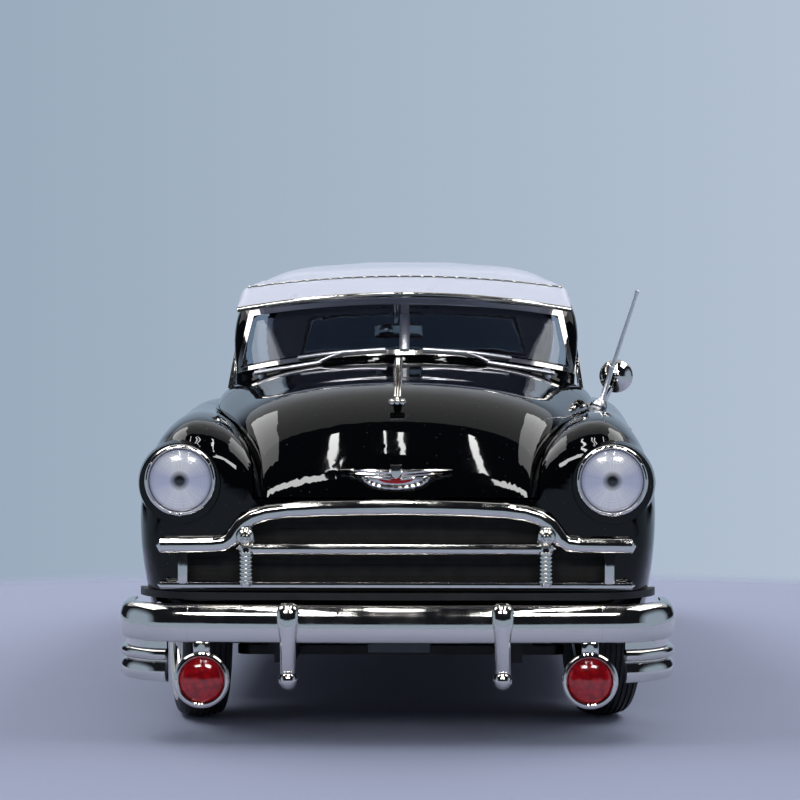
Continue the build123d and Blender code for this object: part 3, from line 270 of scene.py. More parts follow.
def make_finishes(c):
    """Every finish of the model by name. c holds the colours that a user may change."""
    FINISH.update({
        "black": enamel("enamel_black", c.body, "#7D828C", 0.5),
        "white": enamel("enamel_white", c.roof, "#B0B5C2", 0.6, 0.32),
        "two_tone": pillar_enamel("enamel_roof_and_pillars", c.roof, "#B0B5C2", 0.6, 0.2, c.body),
        "red": enamel("enamel_red", c.badge, "#C04048", 0.3),
        "chrome": plated("chrome_plating", "#DEDBD6", 0.04),
        "satin": plated("soft_plating", "#E2E3EA", 0.3),
        "glass": acrylic("acrylic_glass", "#AEB7C2", 0.02),
        "smoked": acrylic("acrylic_smoked", "#38404A", 0.04),
        # c.lamp is the tone of the painted highlight on the headlamp lenses
        "lens": lamp_lens("acrylic_lamp_lens", c.lamp),
        "red_lens": signal_lens("acrylic_red_lens", c.signal),
        "rubber": moulded("tyre_rubber", ("#121214", "#1B1B1E"), 0.6, 0.25, 0.02),
        "whitewall": moulded("tyre_whitewall", ("#C9C9C6", "#D8D8D4"), 0.55, 0.3, 0.01),
        "maroon": moulded("moulded_trim_maroon", (c.trim, "#521920"), 0.42, 0.35, 0.03),
        "carpet": moulded("flocked_carpet", ("#2B0D11", "#3A1419"), 0.9, 0.18, 0.12),
        "plastic": moulded("moulded_plastic_black", ("#0B0B0D", "#141417"), 0.42, 0.3, 0.02),
        "silver": moulded("silver_paint", ("#8D9097", "#A1A4AB"), 0.35, 0.3, 0.01, 0.7),
        "engine": moulded("engine_enamel_grey", ("#50575C", "#5F666B"), 0.4, 0.4, 0.02),
        "zinc": moulded("cast_zinc_dull", ("#3A3B3E", "#505154"), 0.45, 0.5, 0.03, 0.8),
        "cream": moulded("moulded_cream", ("#BDB49C", "#CBC3AC"), 0.4, 0.4, 0.01),
        "dark": moulded("flat_black_recess", ("#050506", "#08080A"), 0.75, 0.3, 0.01),
    })


# ---------------------------------------------------------------- shapes
def piece(name, bm, body, finish, replaced, smooth):
    """Turns a bmesh in millimetres into a finished piece that rides on a body. A finish is a name or two."""
    if not bm.faces:
        raise RuntimeError(name + " has no faces")
    bmesh.ops.remove_doubles(bm, verts=bm.verts, dist=0.002)
    bmesh.ops.recalc_face_normals(bm, faces=bm.faces)
    bmesh.ops.scale(bm, vec=(MM, MM, MM), verts=bm.verts)
    for face in bm.faces:
        face.smooth = True
    for edge in bm.edges:
        edge.smooth = not edge.is_manifold or edge.calc_face_angle(0) < radians(smooth)
    mesh = bpy.data.meshes.new(name)
    bm.to_mesh(mesh)
    bm.free()
    made = bpy.data.objects.new(name, mesh)
    bpy.context.scene.collection.objects.link(made)
    for one in finish.split():
        mesh.materials.append(FINISH[one])
    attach(made, body)
    if replaced:
        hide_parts(*replaced)


def outline_ring(bm, points):
    """A closed loop of edges through points."""
    verts = [bm.verts.new(p) for p in points]
    return [bm.edges.new((verts[i - 1], verts[i])) for i in range(len(verts))]


def turned(bm, profile, centre, axis, steps):
    """Spins a profile of (along the axis, radius) points round an axis through the centre."""
    axis = Vector(axis)
    side = axis.orthogonal().normalized()
    origin = Vector(centre)
    verts = [bm.verts.new(origin + axis * a + side * max(r, 0.0)) for a, r in profile]
    edges = [bm.edges.new(verts[i:i + 2]) for i in range(len(verts) - 1)]
    bmesh.ops.spin(bm, geom=verts + edges, cent=origin, axis=axis, angle=2 * pi, steps=steps, use_merge=True)
    bmesh.ops.remove_doubles(bm, verts=bm.verts, dist=0.001)


def station(origin, forward, up=UP, wide=1.0, tall=1.0):
    """A frame whose Y looks forward, for one section of a swept bar."""
    forward = Vector(forward).normalized()
    side = forward.cross(Vector(up)).normalized()
    top = side.cross(forward)
    basis = Matrix((side * wide, forward, top * tall)).transposed().to_4x4()
    return Matrix.Translation(Vector(origin)) @ basis


def swept(bm, section, stations):
    """Draws a closed section of (across, up) points through a row of stations, and closes both ends."""
    ring = outline_ring(bm, [stations[0] @ Vector((a, 0, b)) for a, b in section])
    bmesh.ops.contextual_create(bm, geom=ring)
    for before, after in zip(stations, stations[1:]):
        made = bmesh.ops.extrude_edge_only(bm, edges=ring)["geom"]
        verts = [g for g in made if isinstance(g, bmesh.types.BMVert)]
        fresh = set(verts)
        ring = [g for g in made if isinstance(g, bmesh.types.BMEdge) and fresh.issuperset(g.verts)]
        bmesh.ops.transform(bm, matrix=after @ before.inverted(), verts=verts)
    bmesh.ops.contextual_create(bm, geom=ring)


def oval(wide, tall, count, power=1.0):
    """A rounded section. A power below 1 makes it squarer."""
    points = []
    for i in range(count):
        c, s = cos(2 * pi * i / count), sin(2 * pi * i / count)
        points.append((copysign(wide / 2 * abs(c) ** power, c), copysign(tall / 2 * abs(s) ** power, s)))
    return points


def bar(bm, points, section, up=UP, round_ends=0.0):
    """Sweeps a section along a line of points, with its ends drawn in to a dome."""
    points = [Vector(p) for p in points]
    rows = []
    for i, p in enumerate(points):
        ahead = points[min(i + 1, len(points) - 1)] - points[max(i - 1, 0)]
        rows.append(station(p, ahead, up))
    if round_ends:
        first, last = (points[1] - points[0]).normalized(), (points[-1] - points[-2]).normalized()
        for k in (0.85, 0.55, 0.15):  # share of the section's size that is left
            rows.insert(0, station(points[0] - first * round_ends * (1 - k) ** 0.9, first, up, k, k))
            rows.append(station(points[-1] + last * round_ends * (1 - k) ** 0.9, last, up, k, k))
    swept(bm, section, rows)


def softened(bm, edges, size, segments):
    """Rounds edges, and gives the vertices of the faces that this makes."""
    made = bmesh.ops.bevel(bm, geom=edges, offset=size, affect="EDGES", segments=segments, profile=0.5,
                           material=-1)
    return {v for f in made["faces"] for v in f.verts}


def lump(bm, low, high, soft, segments=2, turn=Matrix.Identity(3)):
    """A block between two corners with softened edges, turned about its middle."""
    low, high = Vector(low), Vector(high)
    made = bmesh.ops.create_cube(bm, size=1.0)["verts"]
    bmesh.ops.scale(bm, vec=high - low, verts=made)
    edges = list({e for v in made for e in v.link_edges})
    made = list(softened(bm, edges, soft, segments) | {v for v in made if v.is_valid})
    bmesh.ops.transform(bm, matrix=Matrix.Translation((low + high) / 2) @ turn.to_4x4(), verts=made)
    return made


def plate(bm, outline, depth, place, soft):
    """A flat outline of (x, y) points given a depth along its own Z, with its front edge softened."""
    ring = outline_ring(bm, [Vector((x, y, 0)) for x, y in outline])
    face = bmesh.ops.contextual_create(bm, geom=ring)["faces"][0]
    if face.normal.z < 0:
        bmesh.ops.reverse_faces(bm, faces=[face])
    out = bmesh.ops.extrude_face_region(bm, geom=[face])["geom"]
    top = [g for g in out if isinstance(g, bmesh.types.BMVert)]
    bmesh.ops.translate(bm, vec=(0, 0, depth), verts=top)
    verts = set(top) | {v for e in ring for v in e.verts if e.is_valid}
    fresh = softened(bm, [g for g in out if isinstance(g, bmesh.types.BMEdge)], soft, 2)
    bmesh.ops.transform(bm, matrix=place, verts=list(fresh | {v for v in verts if v.is_valid}))


def mirrored(bm):
    """Adds the other side's copy, across X = 0."""
    geom = bm.verts[:] + bm.edges[:] + bm.faces[:]
    bmesh.ops.mirror(bm, geom=geom, matrix=Matrix.Identity(4), merge_dist=-1, axis="X")


def on_node(node, start_mm, way):
    """Where a line from a point first meets a node of the solid model, and its surface's normal there."""
    hit, where, normal, _ = frame["nodes"][node].ray_cast(Vector(start_mm) * MM, Vector(way).normalized())
    if not hit:
        raise RuntimeError("nothing of " + node + " lies that way")
    return where / MM, normal


def facing(origin, forward):
    """Places a flat shape so that its own Z looks forward and its Y looks up."""
    z = Vector(forward).normalized()
    x = Vector(UP).cross(z).normalized()
    y = z.cross(x)
    return Matrix.Translation(Vector(origin)) @ Matrix((x, y, z)).transposed().to_4x4()


# ---------------------------------------------------------------- sizes and colours that a user may change
def colour_prop(name, description, code):
    """A colour that a user may change, set to a hex code."""
    return bpy.props.FloatVectorProperty(name=name, description=description, subtype="COLOR", size=4, min=0,
                                         max=1, default=linear(code))


def mm_prop(name, description, default, low, high):
    """A size in millimetres that a user may change."""
    return bpy.props.FloatProperty(name=name, description=description + ", in mm", default=default,
                                   min=low, max=high)


class CarColours(bpy.types.PropertyGroup):
    """Colours of the car and of the studio"""
    body: colour_prop("Body enamel", "Colour of the lower body, hood, doors and lid", "#060709")
    roof: colour_prop("Roof enamel", "Colour of the roof and the sun visor", "#DADFEE")
    trim: colour_prop("Cabin trim", "Colour of the seats, door cards and dashboard", "#4A1219")
    badge: colour_prop("Hood dish", "Colour that fills the dish on the hood", "#A8121C")
    # Lamp glass is the tone of the painted highlight above and below the middle of each headlamp lens
    lamp: colour_prop("Lamp glass", "Pale tone of the headlamp lenses", "#FBFCFF")
    signal: colour_prop("Signal glass", "Colour of the fog and tail lenses", "#D0101E")
    floor: colour_prop("Floor", "Colour of the studio floor", "#9EA5BF")
    # the backdrop colour is the wall's left side; painted light makes the wall lighter towards the right
    backdrop: colour_prop("Backdrop", "Colour of the wall behind", "#9AABBD")


class CarSizes(bpy.types.PropertyGroup):
    """Sizes of the fine detail"""
    groove_wide: mm_prop("Tread groove", "Width of one groove round a tyre", 0.45, 0.2, 0.8)
    groove_deep: mm_prop("Tread depth", "Depth of the grooves round a tyre", 0.35, 0.1, 0.6)
    grooves: bpy.props.IntProperty(name="Grooves", description="Grooves round each tyre", default=7,
                                   min=3, max=9)
    whitewall_in: mm_prop("Whitewall inside", "Inner radius of the white band on a tyre", 12.6, 12.0, 14.0)
    whitewall_out: mm_prop("Whitewall outside", "Outer radius of the white band on a tyre", 16.2, 15.0, 17.5)
    pleat: mm_prop("Seat pleat", "Width of one sewn-look pleat of the seats", 3.3, 2.0, 6.0)
    rivet: mm_prop("Visor rivet", "Spacing of the rivets along the visor", 2.4, 1.2, 5.0)
    post_rings: bpy.props.IntProperty(name="Post rings", description="Rings round each grille post",
                                      default=8, min=4, max=10)


# ---------------------------------------------------------------- wheels
def wheel_frame(spot, side):
    """Centre of a wheel in millimetres, and its axle's direction to the outside of the car."""
    low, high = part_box("tyre_" + spot)
    joint = next(j for j in frame["joints"] if j["child"] == "wheel_" + spot)
    return (low + high) / 2 / MM, Vector(joint["axis"]).normalized() * side


class MODELCAR_OT_tyres(bpy.types.Operator):
    """Ribbed rubber tyres with a raised white band on the outer wall"""
    bl_idname = "modelcar.tyres"
    bl_label = "Tyres"

    def execute(self, context):
        sizes = context.scene.modelcar_sizes
        wide, deep, count = sizes.groove_wide, sizes.groove_deep, sizes.grooves
        half, crown, slope = 3.75, 0.75, 0.06
        pitch = 2 * half / count
        tread = []
        for i in range(count):
            middle = -half + pitch * (i + 0.5)
            for offset, sunk in ((-wide / 2 - slope, 0), (-wide / 2 + slope, deep), (wide / 2 - slope, deep),
                                 (wide / 2 + slope, 0)):
                a = middle + offset
                tread.append((a, TYRE_R - crown * (a / 4.0) ** 2 - sunk))
        white_in, white_out = sizes.whitewall_in, sizes.whitewall_out
        inner_wall = [(-3.2, BEAD_R), (-3.9, BEAD_R + 0.15), (-4.5, 13.0), (-4.95, 15.4), (-4.8, 17.2),
                      (-4.45, 18.2), (-4.1, 18.6)]
        outer_wall = [(4.1, 18.6), (4.45, 18.2), (4.7, 17.6), (4.85, white_out + 0.35), (4.88, white_out),
                      (4.95, white_out - 0.12), (4.99, 15.2), (4.9, 14.0), (4.66, white_in + 0.1),
                      (4.5, white_in), (4.25, 12.1), (3.9, BEAD_R + 0.15), (3.2, BEAD_R)]
        profile = inner_wall + tread + outer_wall
        for spot, side in WHEEL_SPOTS:
            centre, out = wheel_frame(spot, side)
            bm = bmesh.new()
            turned(bm, profile + [profile[0]], centre, out, 88)
            for face in bm.faces:
                off = face.calc_center_median() - centre
                reach, radius = off.dot(out), (off - out * off.dot(out)).length
                if reach > 4.0 and white_in < radius < white_out:
                    face.material_index = 1
            piece("ribbed_tyre_" + spot, bm, "wheel_" + spot, "rubber whitewall", ("tyre_" + spot,), 30)
        return {"FINISHED"}


class MODELCAR_OT_wheels(bpy.types.Operator):
    """Black rims with a bright trim ring and five nuts, and stepped hub caps"""
    bl_idname = "modelcar.wheels"
    bl_label = "Wheels"

    def execute(self, context):
        rim = [(-3.8, 1.6), (-3.8, 4.0), (1.0, 4.4), (1.3, 9.2), (-3.6, 10.3), (-3.8, 11.5), (-3.2, 11.55),
               (3.2, 11.55), (3.9, 11.3), (3.9, 10.9), (3.2, 10.3), (2.3, 9.6), (1.9, 8.6), (2.3, 8.0),
               (2.9, 7.8), (2.9, 1.0), (1.0, 1.0)]
        trim = [(3.5, 11.5), (4.1, 11.75), (4.55, 11.45), (4.6, 10.9), (4.2, 10.4), (3.6, 10.1), (3.4, 10.3),
                (3.9, 10.9)]
        cap = [(2.6, 7.7), (3.3, 7.9), (3.8, 7.6), (4.0, 7.1), (3.85, 6.8), (4.25, 6.5), (4.45, 6.1),
               (4.3, 5.8), (4.75, 5.4), (5.05, 4.6), (5.2, 3.4), (5.1, 3.1), (5.35, 2.9), (5.5, 2.4),
               (5.55, 1.2), (5.55, 0.0)]
        bead = [(3.6, 9.9), (3.75, 9.55), (3.5, 9.3), (3.0, 9.3), (3.0, 9.9), (3.6, 9.9)]
        for spot, side in WHEEL_SPOTS:
            centre, out = wheel_frame(spot, side)
            body = "wheel_" + spot
            bm = bmesh.new()
            turned(bm, rim + [rim[0]], centre, out, 64)
            piece("painted_rim_" + spot, bm, body, "black", ("wheel_" + spot,), 30)
            bm = bmesh.new()
            turned(bm, trim + [trim[0]], centre, out, 64)
            turned(bm, cap + [(2.6, 0.0)], centre, out, 64)
            turned(bm, bead, centre, out, 48)
            up = Vector(UP)
            across = up.cross(out)
            for i in range(5):
                spin = 2 * pi * (i + 0.5) / 5
                nut_at = centre + (up * cos(spin) + across * sin(spin)) * 8.75
                turned(bm, [(1.5, 0.0), (1.5, 0.55), (2.3, 0.5), (2.45, 0.0)], nut_at, out, 8)
            piece("hub_cap_" + spot, bm, body, "chrome", (), 30)
        return {"FINISHED"}


# ---------------------------------------------------------------- nose
class MODELCAR_OT_grille(bpy.types.Operator):
    """Plated grille: an arched top bar, two cross bars, ringed posts with ball caps, and plain outer posts"""
    bl_idname = "modelcar.grille"
    bl_label = "Grille"

    def execute(self, context):
        rings = context.scene.modelcar_sizes.post_rings
        main_z, low_z, post_x, outer_x = 36.35, 29.6, 28.1, 40.0
        bm = bmesh.new()
        top_bar = [(0, 44.15), (7, 44.05), (14, 43.9), (20.4, 43.55), (24.3, 43.05), (27.0, 42.2),
                   (29.0, 40.9), (30.1, 39.4), (30.9, 38.2), (32.3, 37.3), (34.5, 37.1), (38.0, 37.05),
                   (44.2, 37.0)]
        top_bar = [(-x, z) for x, z in top_bar[:0:-1]] + top_bar
        bar(bm, [(x, GRILLE_Y - 1.75, z) for x, z in top_bar], oval(3.1, 2.75, 18, 0.8), FRONT, 0.9)
        bar(bm, [(x, GRILLE_Y - 1.6, main_z) for x in (-29.0, -15, 0, 15, 29.0)], oval(2.9, 2.4, 16, 0.75),
            UP, 1.4)
        bar(bm, [(x, GRILLE_Y - 1.5, low_z) for x in (-44.2, -30, -15, 0, 15, 30, 44.2)],
            oval(2.5, 1.7, 14, 0.8), UP, 0.7)
        low, high = -3.0, 3.0  # of the posts' rings, from the posts' middle
        pitch = (high - low) / rings
        post = [(low - 0.6, 0.0), (low - 0.6, 1.05)]
        for i in range(rings):
            base = low + i * pitch
            post += [(base + pitch * 0.08, 1.2), (base + pitch * 0.25, 1.5), (base + pitch * 0.68, 1.5),
                     (base + pitch * 0.86, 1.2)]
        post += [(high + 0.6, 1.15), (high + 0.9, 0.0)]
        knob = [(-1.95, 0.0), (-1.9, 0.45), (-1.7, 0.62), (-1.62, 0.95), (-1.35, 1.15), (-1.2, 1.45),
                (-0.75, 1.7), (-0.2, 1.93), (0.5, 1.95), (1.2, 1.6), (1.7, 0.9), (1.8, 0.0)]
        for x in (-post_x, post_x):
            turned(bm, post, (x, GRILLE_Y - 2.3, 33), UP, 28)
            turned(bm, knob, (x, GRILLE_Y - 3.0, 38.7), REAR, 28)
            lump(bm, (x - 1.5, GRILLE_Y - 2.6, 35.6), (x + 1.5, GRILLE_Y - 0.2, 42.0), 0.6)
        for x in (-outer_x, outer_x):
            lump(bm, (x - 1.0, GRILLE_Y - 2.7, 29.5), (x + 1.0, GRILLE_Y - 0.3, 36.4), 0.45)
        piece("plated_grille", bm, "car", "chrome", ("grille",), 35)

        bm = bmesh.new()
        for i in range(13):
            z = 29.8 + i * 1.12
            bar(bm, [(x, GRILLE_Y + 2.0, z) for x in (-39.5, 0, 39.5)], oval(0.8, 0.35, 8))
        for x in range(-36, 37, 6):
            lump(bm, (x - 0.3, GRILLE_Y + 1.9, 29.0), (x + 0.3, GRILLE_Y + 2.4, 44.0), 0.1, 1)
        piece("radiator_louvres", bm, "car", "dark", (), 30)
        return {"FINISHED"}


def bumper_line():
    """Plan line of a bumper's face from the left end to the right one: points and directions."""
    steps = 10
    corner_x = BUMPER_HALF - CORNER_R
    wide_r = (corner_x + CORNER_R * sin(SWEEP)) / sin(SWEEP)
    corner_y = -BUMPER_FACE + wide_r * (1 - cos(SWEEP)) + CORNER_R * cos(SWEEP)
    line = [((BUMPER_HALF, -BUMPER_END + (corner_y + BUMPER_END) * t / 3), (0, -1)) for t in range(3)]
    for i in range(steps):
        a = (pi / 2 - SWEEP) * i / steps
        line.append(((corner_x + CORNER_R * cos(a), corner_y - CORNER_R * sin(a)), (-sin(a), -cos(a))))
    for i in range(steps + 1):
        a = SWEEP * (1 - i / steps)
        line.append(((wide_r * sin(a), -BUMPER_FACE + wide_r * (1 - cos(a))), (-cos(a), -sin(a))))
    return line + [((-x, y), (dx, -dy)) for (x, y), (dx, dy) in line[-2::-1]]


def along_bumper(bm, section, z, line):
    """Sweeps a section of (inward, up) points along a stretch of the bumper's line."""
    swept(bm, section, [station((x, y, z), (dx, dy, 0)) for (x, y), (dx, dy) in line])


class MODELCAR_OT_bumpers(bpy.types.Operator):
    """Plated bumpers: a rolled bar, two ribs round each end, upright guards with ball feet, and seams"""
    bl_idname = "modelcar.bumpers"
    bl_label = "Bumpers"

    def execute(self, context):
        line = bumper_line()
        section = [(2.5, -3.9), (1.4, -3.85), (0.7, -3.55), (0.35, -3.0), (0.15, -1.9), (0.0, -0.4),
                   (0.12, 1.0), (0.45, 2.1), (0.95, 2.8), (1.7, 3.2), (2.8, 3.3), (2.9, 2.9), (2.0, 2.6),
                   (1.2, 1.8), (0.8, -0.3), (1.1, -2.4), (1.8, -3.2), (2.7, -3.5)]
        rib = [(0.7, -1.0), (0.3, -0.6), (0.15, 0.0), (0.3, 0.6), (0.7, 1.0), (1.4, 1.15), (2.2, 1.15),
               (2.2, -1.15), (1.4, -1.15)]
        web = [(1.3, -3.4), (1.3, 3.4), (2.1, 3.4), (2.1, -3.4)]
        # the guard's y, z, and its share of the full width and depth there
        guard = [(-136.6, 12.6, 0.72, 0.9), (-137.3, 14.5, 0.7, 0.9), (-137.9, 17.5, 0.7, 1.0),
                 (-138.25, 20.0, 0.74, 1.0), (-138.45, 22.0, 0.88, 1.0), (-138.55, 23.8, 1.0, 1.0),
                 (-138.4, 25.2, 1.0, 0.95), (-138.0, 26.1, 0.86, 0.85), (-137.6, 26.6, 0.5, 0.5)]
        ball = [(-1.85, 0.0), (-1.7, 0.75), (-1.2, 1.4), (-0.4, 1.82), (0.4, 1.82), (1.2, 1.4), (1.6, 0.8),
                (1.9, 0.7)]
        collar = [(1.3, 1.2), (1.6, 1.45), (1.9, 1.2), (2.2, 0.0)]
        for node, face in (("front_bumper", 1), ("rear_bumper", -1)):
            bm = bmesh.new()
            along_bumper(bm, section, BUMPER_Z, line)
            for side in (1, -1):
                end = [p for p in line if p[0][0] * side > BUMPER_SEAM_X + 2.5]
                for z, tall in ((16.6, 1.0), (13.4, 1.65)):
                    along_bumper(bm, [(a, b * tall) for a, b in rib], z, end)
                along_bumper(bm, web, 15.6, end)
            for side in (-1, 1):
                # the seam between the middle bar and each end piece
                x = BUMPER_SEAM_X * side
                (near_x, near_y), (dx, dy) = min(line, key=lambda p: abs(p[0][0] - x))
                band = station((x, near_y + dy * (x - near_x) / dx, BUMPER_Z), (dx, dy, 0))
                ahead = Matrix.Translation(Vector((dx, dy, 0)) * 0.35)
                swept(bm, [(a - 0.1, b * 1.012) for a, b in section], [band, ahead @ band])
                rows = [station((GUARD_X * side, y, z), UP, FRONT, w, t) for y, z, w, t in guard]
                swept(bm, oval(4.2, 2.7, 22, 0.9), rows)
                turned(bm, ball, (GUARD_X * side, -137.1, 12.2), UP, 24)
                turned(bm, collar, (GUARD_X * side, -137.0, 12.2), UP, 24)
            if face < 0:
                bmesh.ops.scale(bm, vec=(1, -1, 1), verts=bm.verts)
            piece("plated_" + node, bm, "car", "chrome", (node,), 33)
        return {"FINISHED"}


class MODELCAR_OT_headlamps(bpy.types.Operator):
    """Headlamps: a thin plated ring with three screws over a frosted domed lens"""
    bl_idname = "modelcar.headlamps"
    bl_label = "Headlamps"

    def execute(self, context):
        ring = [(-0.1, 5.95), (-0.9, 5.92), (-1.25, 6.0), (-1.42, 6.2), (-1.38, 6.45), (-1.15, 6.68),
                (-0.6, 6.8), (0.3, 6.86), (0.3, 6.6), (0.3, 5.95)]
        lens = [(-2.1, 0.0), (-2.08, 0.6), (-2.02, 1.4), (-1.9, 2.4), (-1.68, 3.5), (-1.4, 4.5), (-1.05, 5.3),
                (-0.8, 5.75), (-0.5, 5.9), (1.2, 5.85), (1.2, 0.0)]
        rings, lenses = bmesh.new(), bmesh.new()
        for side in (-1, 1):
            centre = (LAMP_X * side, LAMP_Y, LAMP_Z)
            turned(rings, ring + [ring[0]], centre, REAR, 64)
            turned(lenses, lens, centre, REAR, 64)
            for degrees in (30, 150, 270):
                a = radians(degrees)
                at = (LAMP_X * side + 6.45 * cos(a), LAMP_Y, LAMP_Z + 6.45 * sin(a))
                turned(rings, [(-1.0, 0.26), (-1.5, 0.24), (-1.55, 0.0)], at, REAR, 8)
        piece("plated_lamp_rings", rings, "car", "chrome", ("headlamp_rings",), 40)
        piece("frosted_lamp_lenses", lenses, "car", "lens", ("headlamp_lenses",), 30)
        return {"FINISHED"}


class MODELCAR_OT_fog_lamps(bpy.types.Operator):
    """Two fog lamps on hangers under the bumper: plated cups with red domed lenses"""
    bl_idname = "modelcar.fog_lamps"
    bl_label = "Fog lamps"

    def execute(self, context):
        cup = [(0.5, 4.2), (-0.15, 4.3), (-0.35, 4.55), (-0.3, 4.95), (0.0, 5.25), (0.7, 5.3), (1.7, 5.1),
               (3.4, 4.3), (5.0, 3.1), (6.1, 1.6), (6.4, 0.0)]
        lens = [(-1.15, 0.0), (-1.12, 0.7), (-1.0, 1.6), (-0.78, 2.6), (-0.4, 3.5), (0.0, 4.1), (0.3, 4.25),
                (1.2, 4.2), (1.2, 0.0)]
        cups, lenses = bmesh.new(), bmesh.new()
        for side in (-1, 1):
            centre = (FOG_X * side, FOG_Y, FOG_Z)
            turned(cups, cup + [(0.5, 0.0)], centre, REAR, 48)
            turned(lenses, lens, centre, REAR, 48)
            lump(cups, (FOG_X * side - 1.6, -135.7, 16.6), (FOG_X * side + 1.6, -134.0, 19.2), 0.4)
            turned(cups, [(-0.6, 0.0), (-0.6, 0.8), (0.8, 0.8), (1.2, 0.0)], (FOG_X * side, -135.4, 18.0),
                   REAR, 6)
        piece("plated_fog_cups", cups, "car", "chrome", ("fog_lamps",), 35)
        piece("red_fog_lenses", lenses, "car", "red_lens", ("fog_lenses",), 30)
        return {"FINISHED"}


class MODELCAR_OT_crest(bpy.types.Operator):
    """A generic winged bar on the hood's nose, over a half-round dish with a beaded edge and a red band"""
    bl_idname = "modelcar.crest"
    bl_label = "Hood crest"

    def execute(self, context):
        bm = bmesh.new()
        for reach, z, thick in ((10.5, 50.75, 0.95), (8.8, 50.1, 0.85), (7.2, 49.5, 0.7)):
            for side in (-1, 1):
                rows = []
                for t in range(7):
                    x = 0.9 + (reach - 0.9) * t / 6
                    at = (x * side, -132.7 + 0.008 * x ** 2, z + 0.45 * sin(pi * t / 12))
                    rows.append(station(at, (side, 0.05, 0), UP, 1.0, 1 - 0.8 * (t / 6) ** 2))
                swept(bm, oval(1.5, thick, 10, 0.8), rows)
        shield = [(-1.1, 1.3), (1.1, 1.3), (1.15, 0.2), (0.75, -0.8), (0, -1.5), (-0.75, -0.8), (-1.15, 0.2)]
        plate(bm, shield, 1.0, facing((0, -132.8, 50.9), FRONT), 0.25)
        edge = [(-6.2, 49.9), (-5.7, 49.05), (-4.7, 48.4), (-3.2, 47.95), (-1.6, 47.72), (0, 47.65)]
        edge += [(-x, z) for x, z in edge[-2::-1]]
        bar(bm, [(x, -132.3, z + 0.15) for x, z in edge], oval(1.1, 1.0, 10), UP, 0.3)
        for i in range(13):
            a = radians(192 + 156 * i / 12)
            bead = (5.9 * cos(a), -132.6, 50.0 + 2.15 * sin(a))
            turned(bm, [(-0.5, 0.0), (-0.42, 0.28), (-0.1, 0.44), (0.3, 0.44)], bead, REAR, 8)
        fill = [(-5.6, 49.8), (-5.0, 49.2), (-4.0, 48.75), (-2.7, 48.45), (-1.3, 48.3), (0, 48.25)]
        fill += [(-x, z) for x, z in fill[-2::-1]]
        plate(bm, [(x, z - 49) for x, z in fill], 0.9, facing((0, -131.8, 49), FRONT), 0.35)
        piece("plated_hood_crest", bm, "hood", "chrome", ("hood_emblem",), 35)
        bm = bmesh.new()
        plate(bm, [(x * 0.62, (z - 49.4) * 0.62 + 0.35) for x, z in fill], 0.9,
              facing((0, -132.0, 49), FRONT), 0.15)
        piece("red_crest_band", bm, "hood", "red", (), 35)
        return {"FINISHED"}


class MODELCAR_OT_ornament(bpy.types.Operator):
    """A slim upright blade with three ridges, on a lobed foot on the middle of the hood"""
    bl_idname = "modelcar.ornament"
    bl_label = "Hood ornament"

    def execute(self, context):
        bm = bmesh.new()
        # height, and how wide and deep the blade is there
        blade = [(63.2, 1.05, 1.25), (64.0, 1.0, 1.2), (64.8, 0.78, 1.0), (66.0, 0.86, 0.85),
                 (68.0, 0.95, 0.75), (70.0, 0.95, 0.66), (71.2, 0.85, 0.6), (71.9, 0.55, 0.5)]
        rows = [station((0, ORNAMENT_Y + (z - ORNAMENT_Z) * 0.35, z), UP, FRONT, w, t) for z, w, t in blade]
        swept(bm, oval(1.8, 9.0, 20, 0.8), rows)
        ridge = [(z, ORNAMENT_Y + (z - ORNAMENT_Z) * 0.35 - 4.6 * t)
                 for z, t in ((64.6, 1.02), (66.5, 0.84), (68.5, 0.74), (70.6, 0.64))]
        for x in (-0.5, 0.0, 0.5):
            bar(bm, [(x, y, z) for z, y in ridge], oval(0.32, 0.5, 8), FRONT, 0.15)
        for x in (-1.0, 0.0, 1.0):
            lobe = (x, ORNAMENT_Y - 5.4, ORNAMENT_Z + 0.6)
            turned(bm, [(-0.9, 0.0), (-0.7, 0.45), (0.0, 0.7), (0.8, 0.55), (1.1, 0.0)], lobe, REAR, 14)
        piece("plated_hood_ornament", bm, "hood", "chrome", ("hood_ornament",), 35)
        return {"FINISHED"}


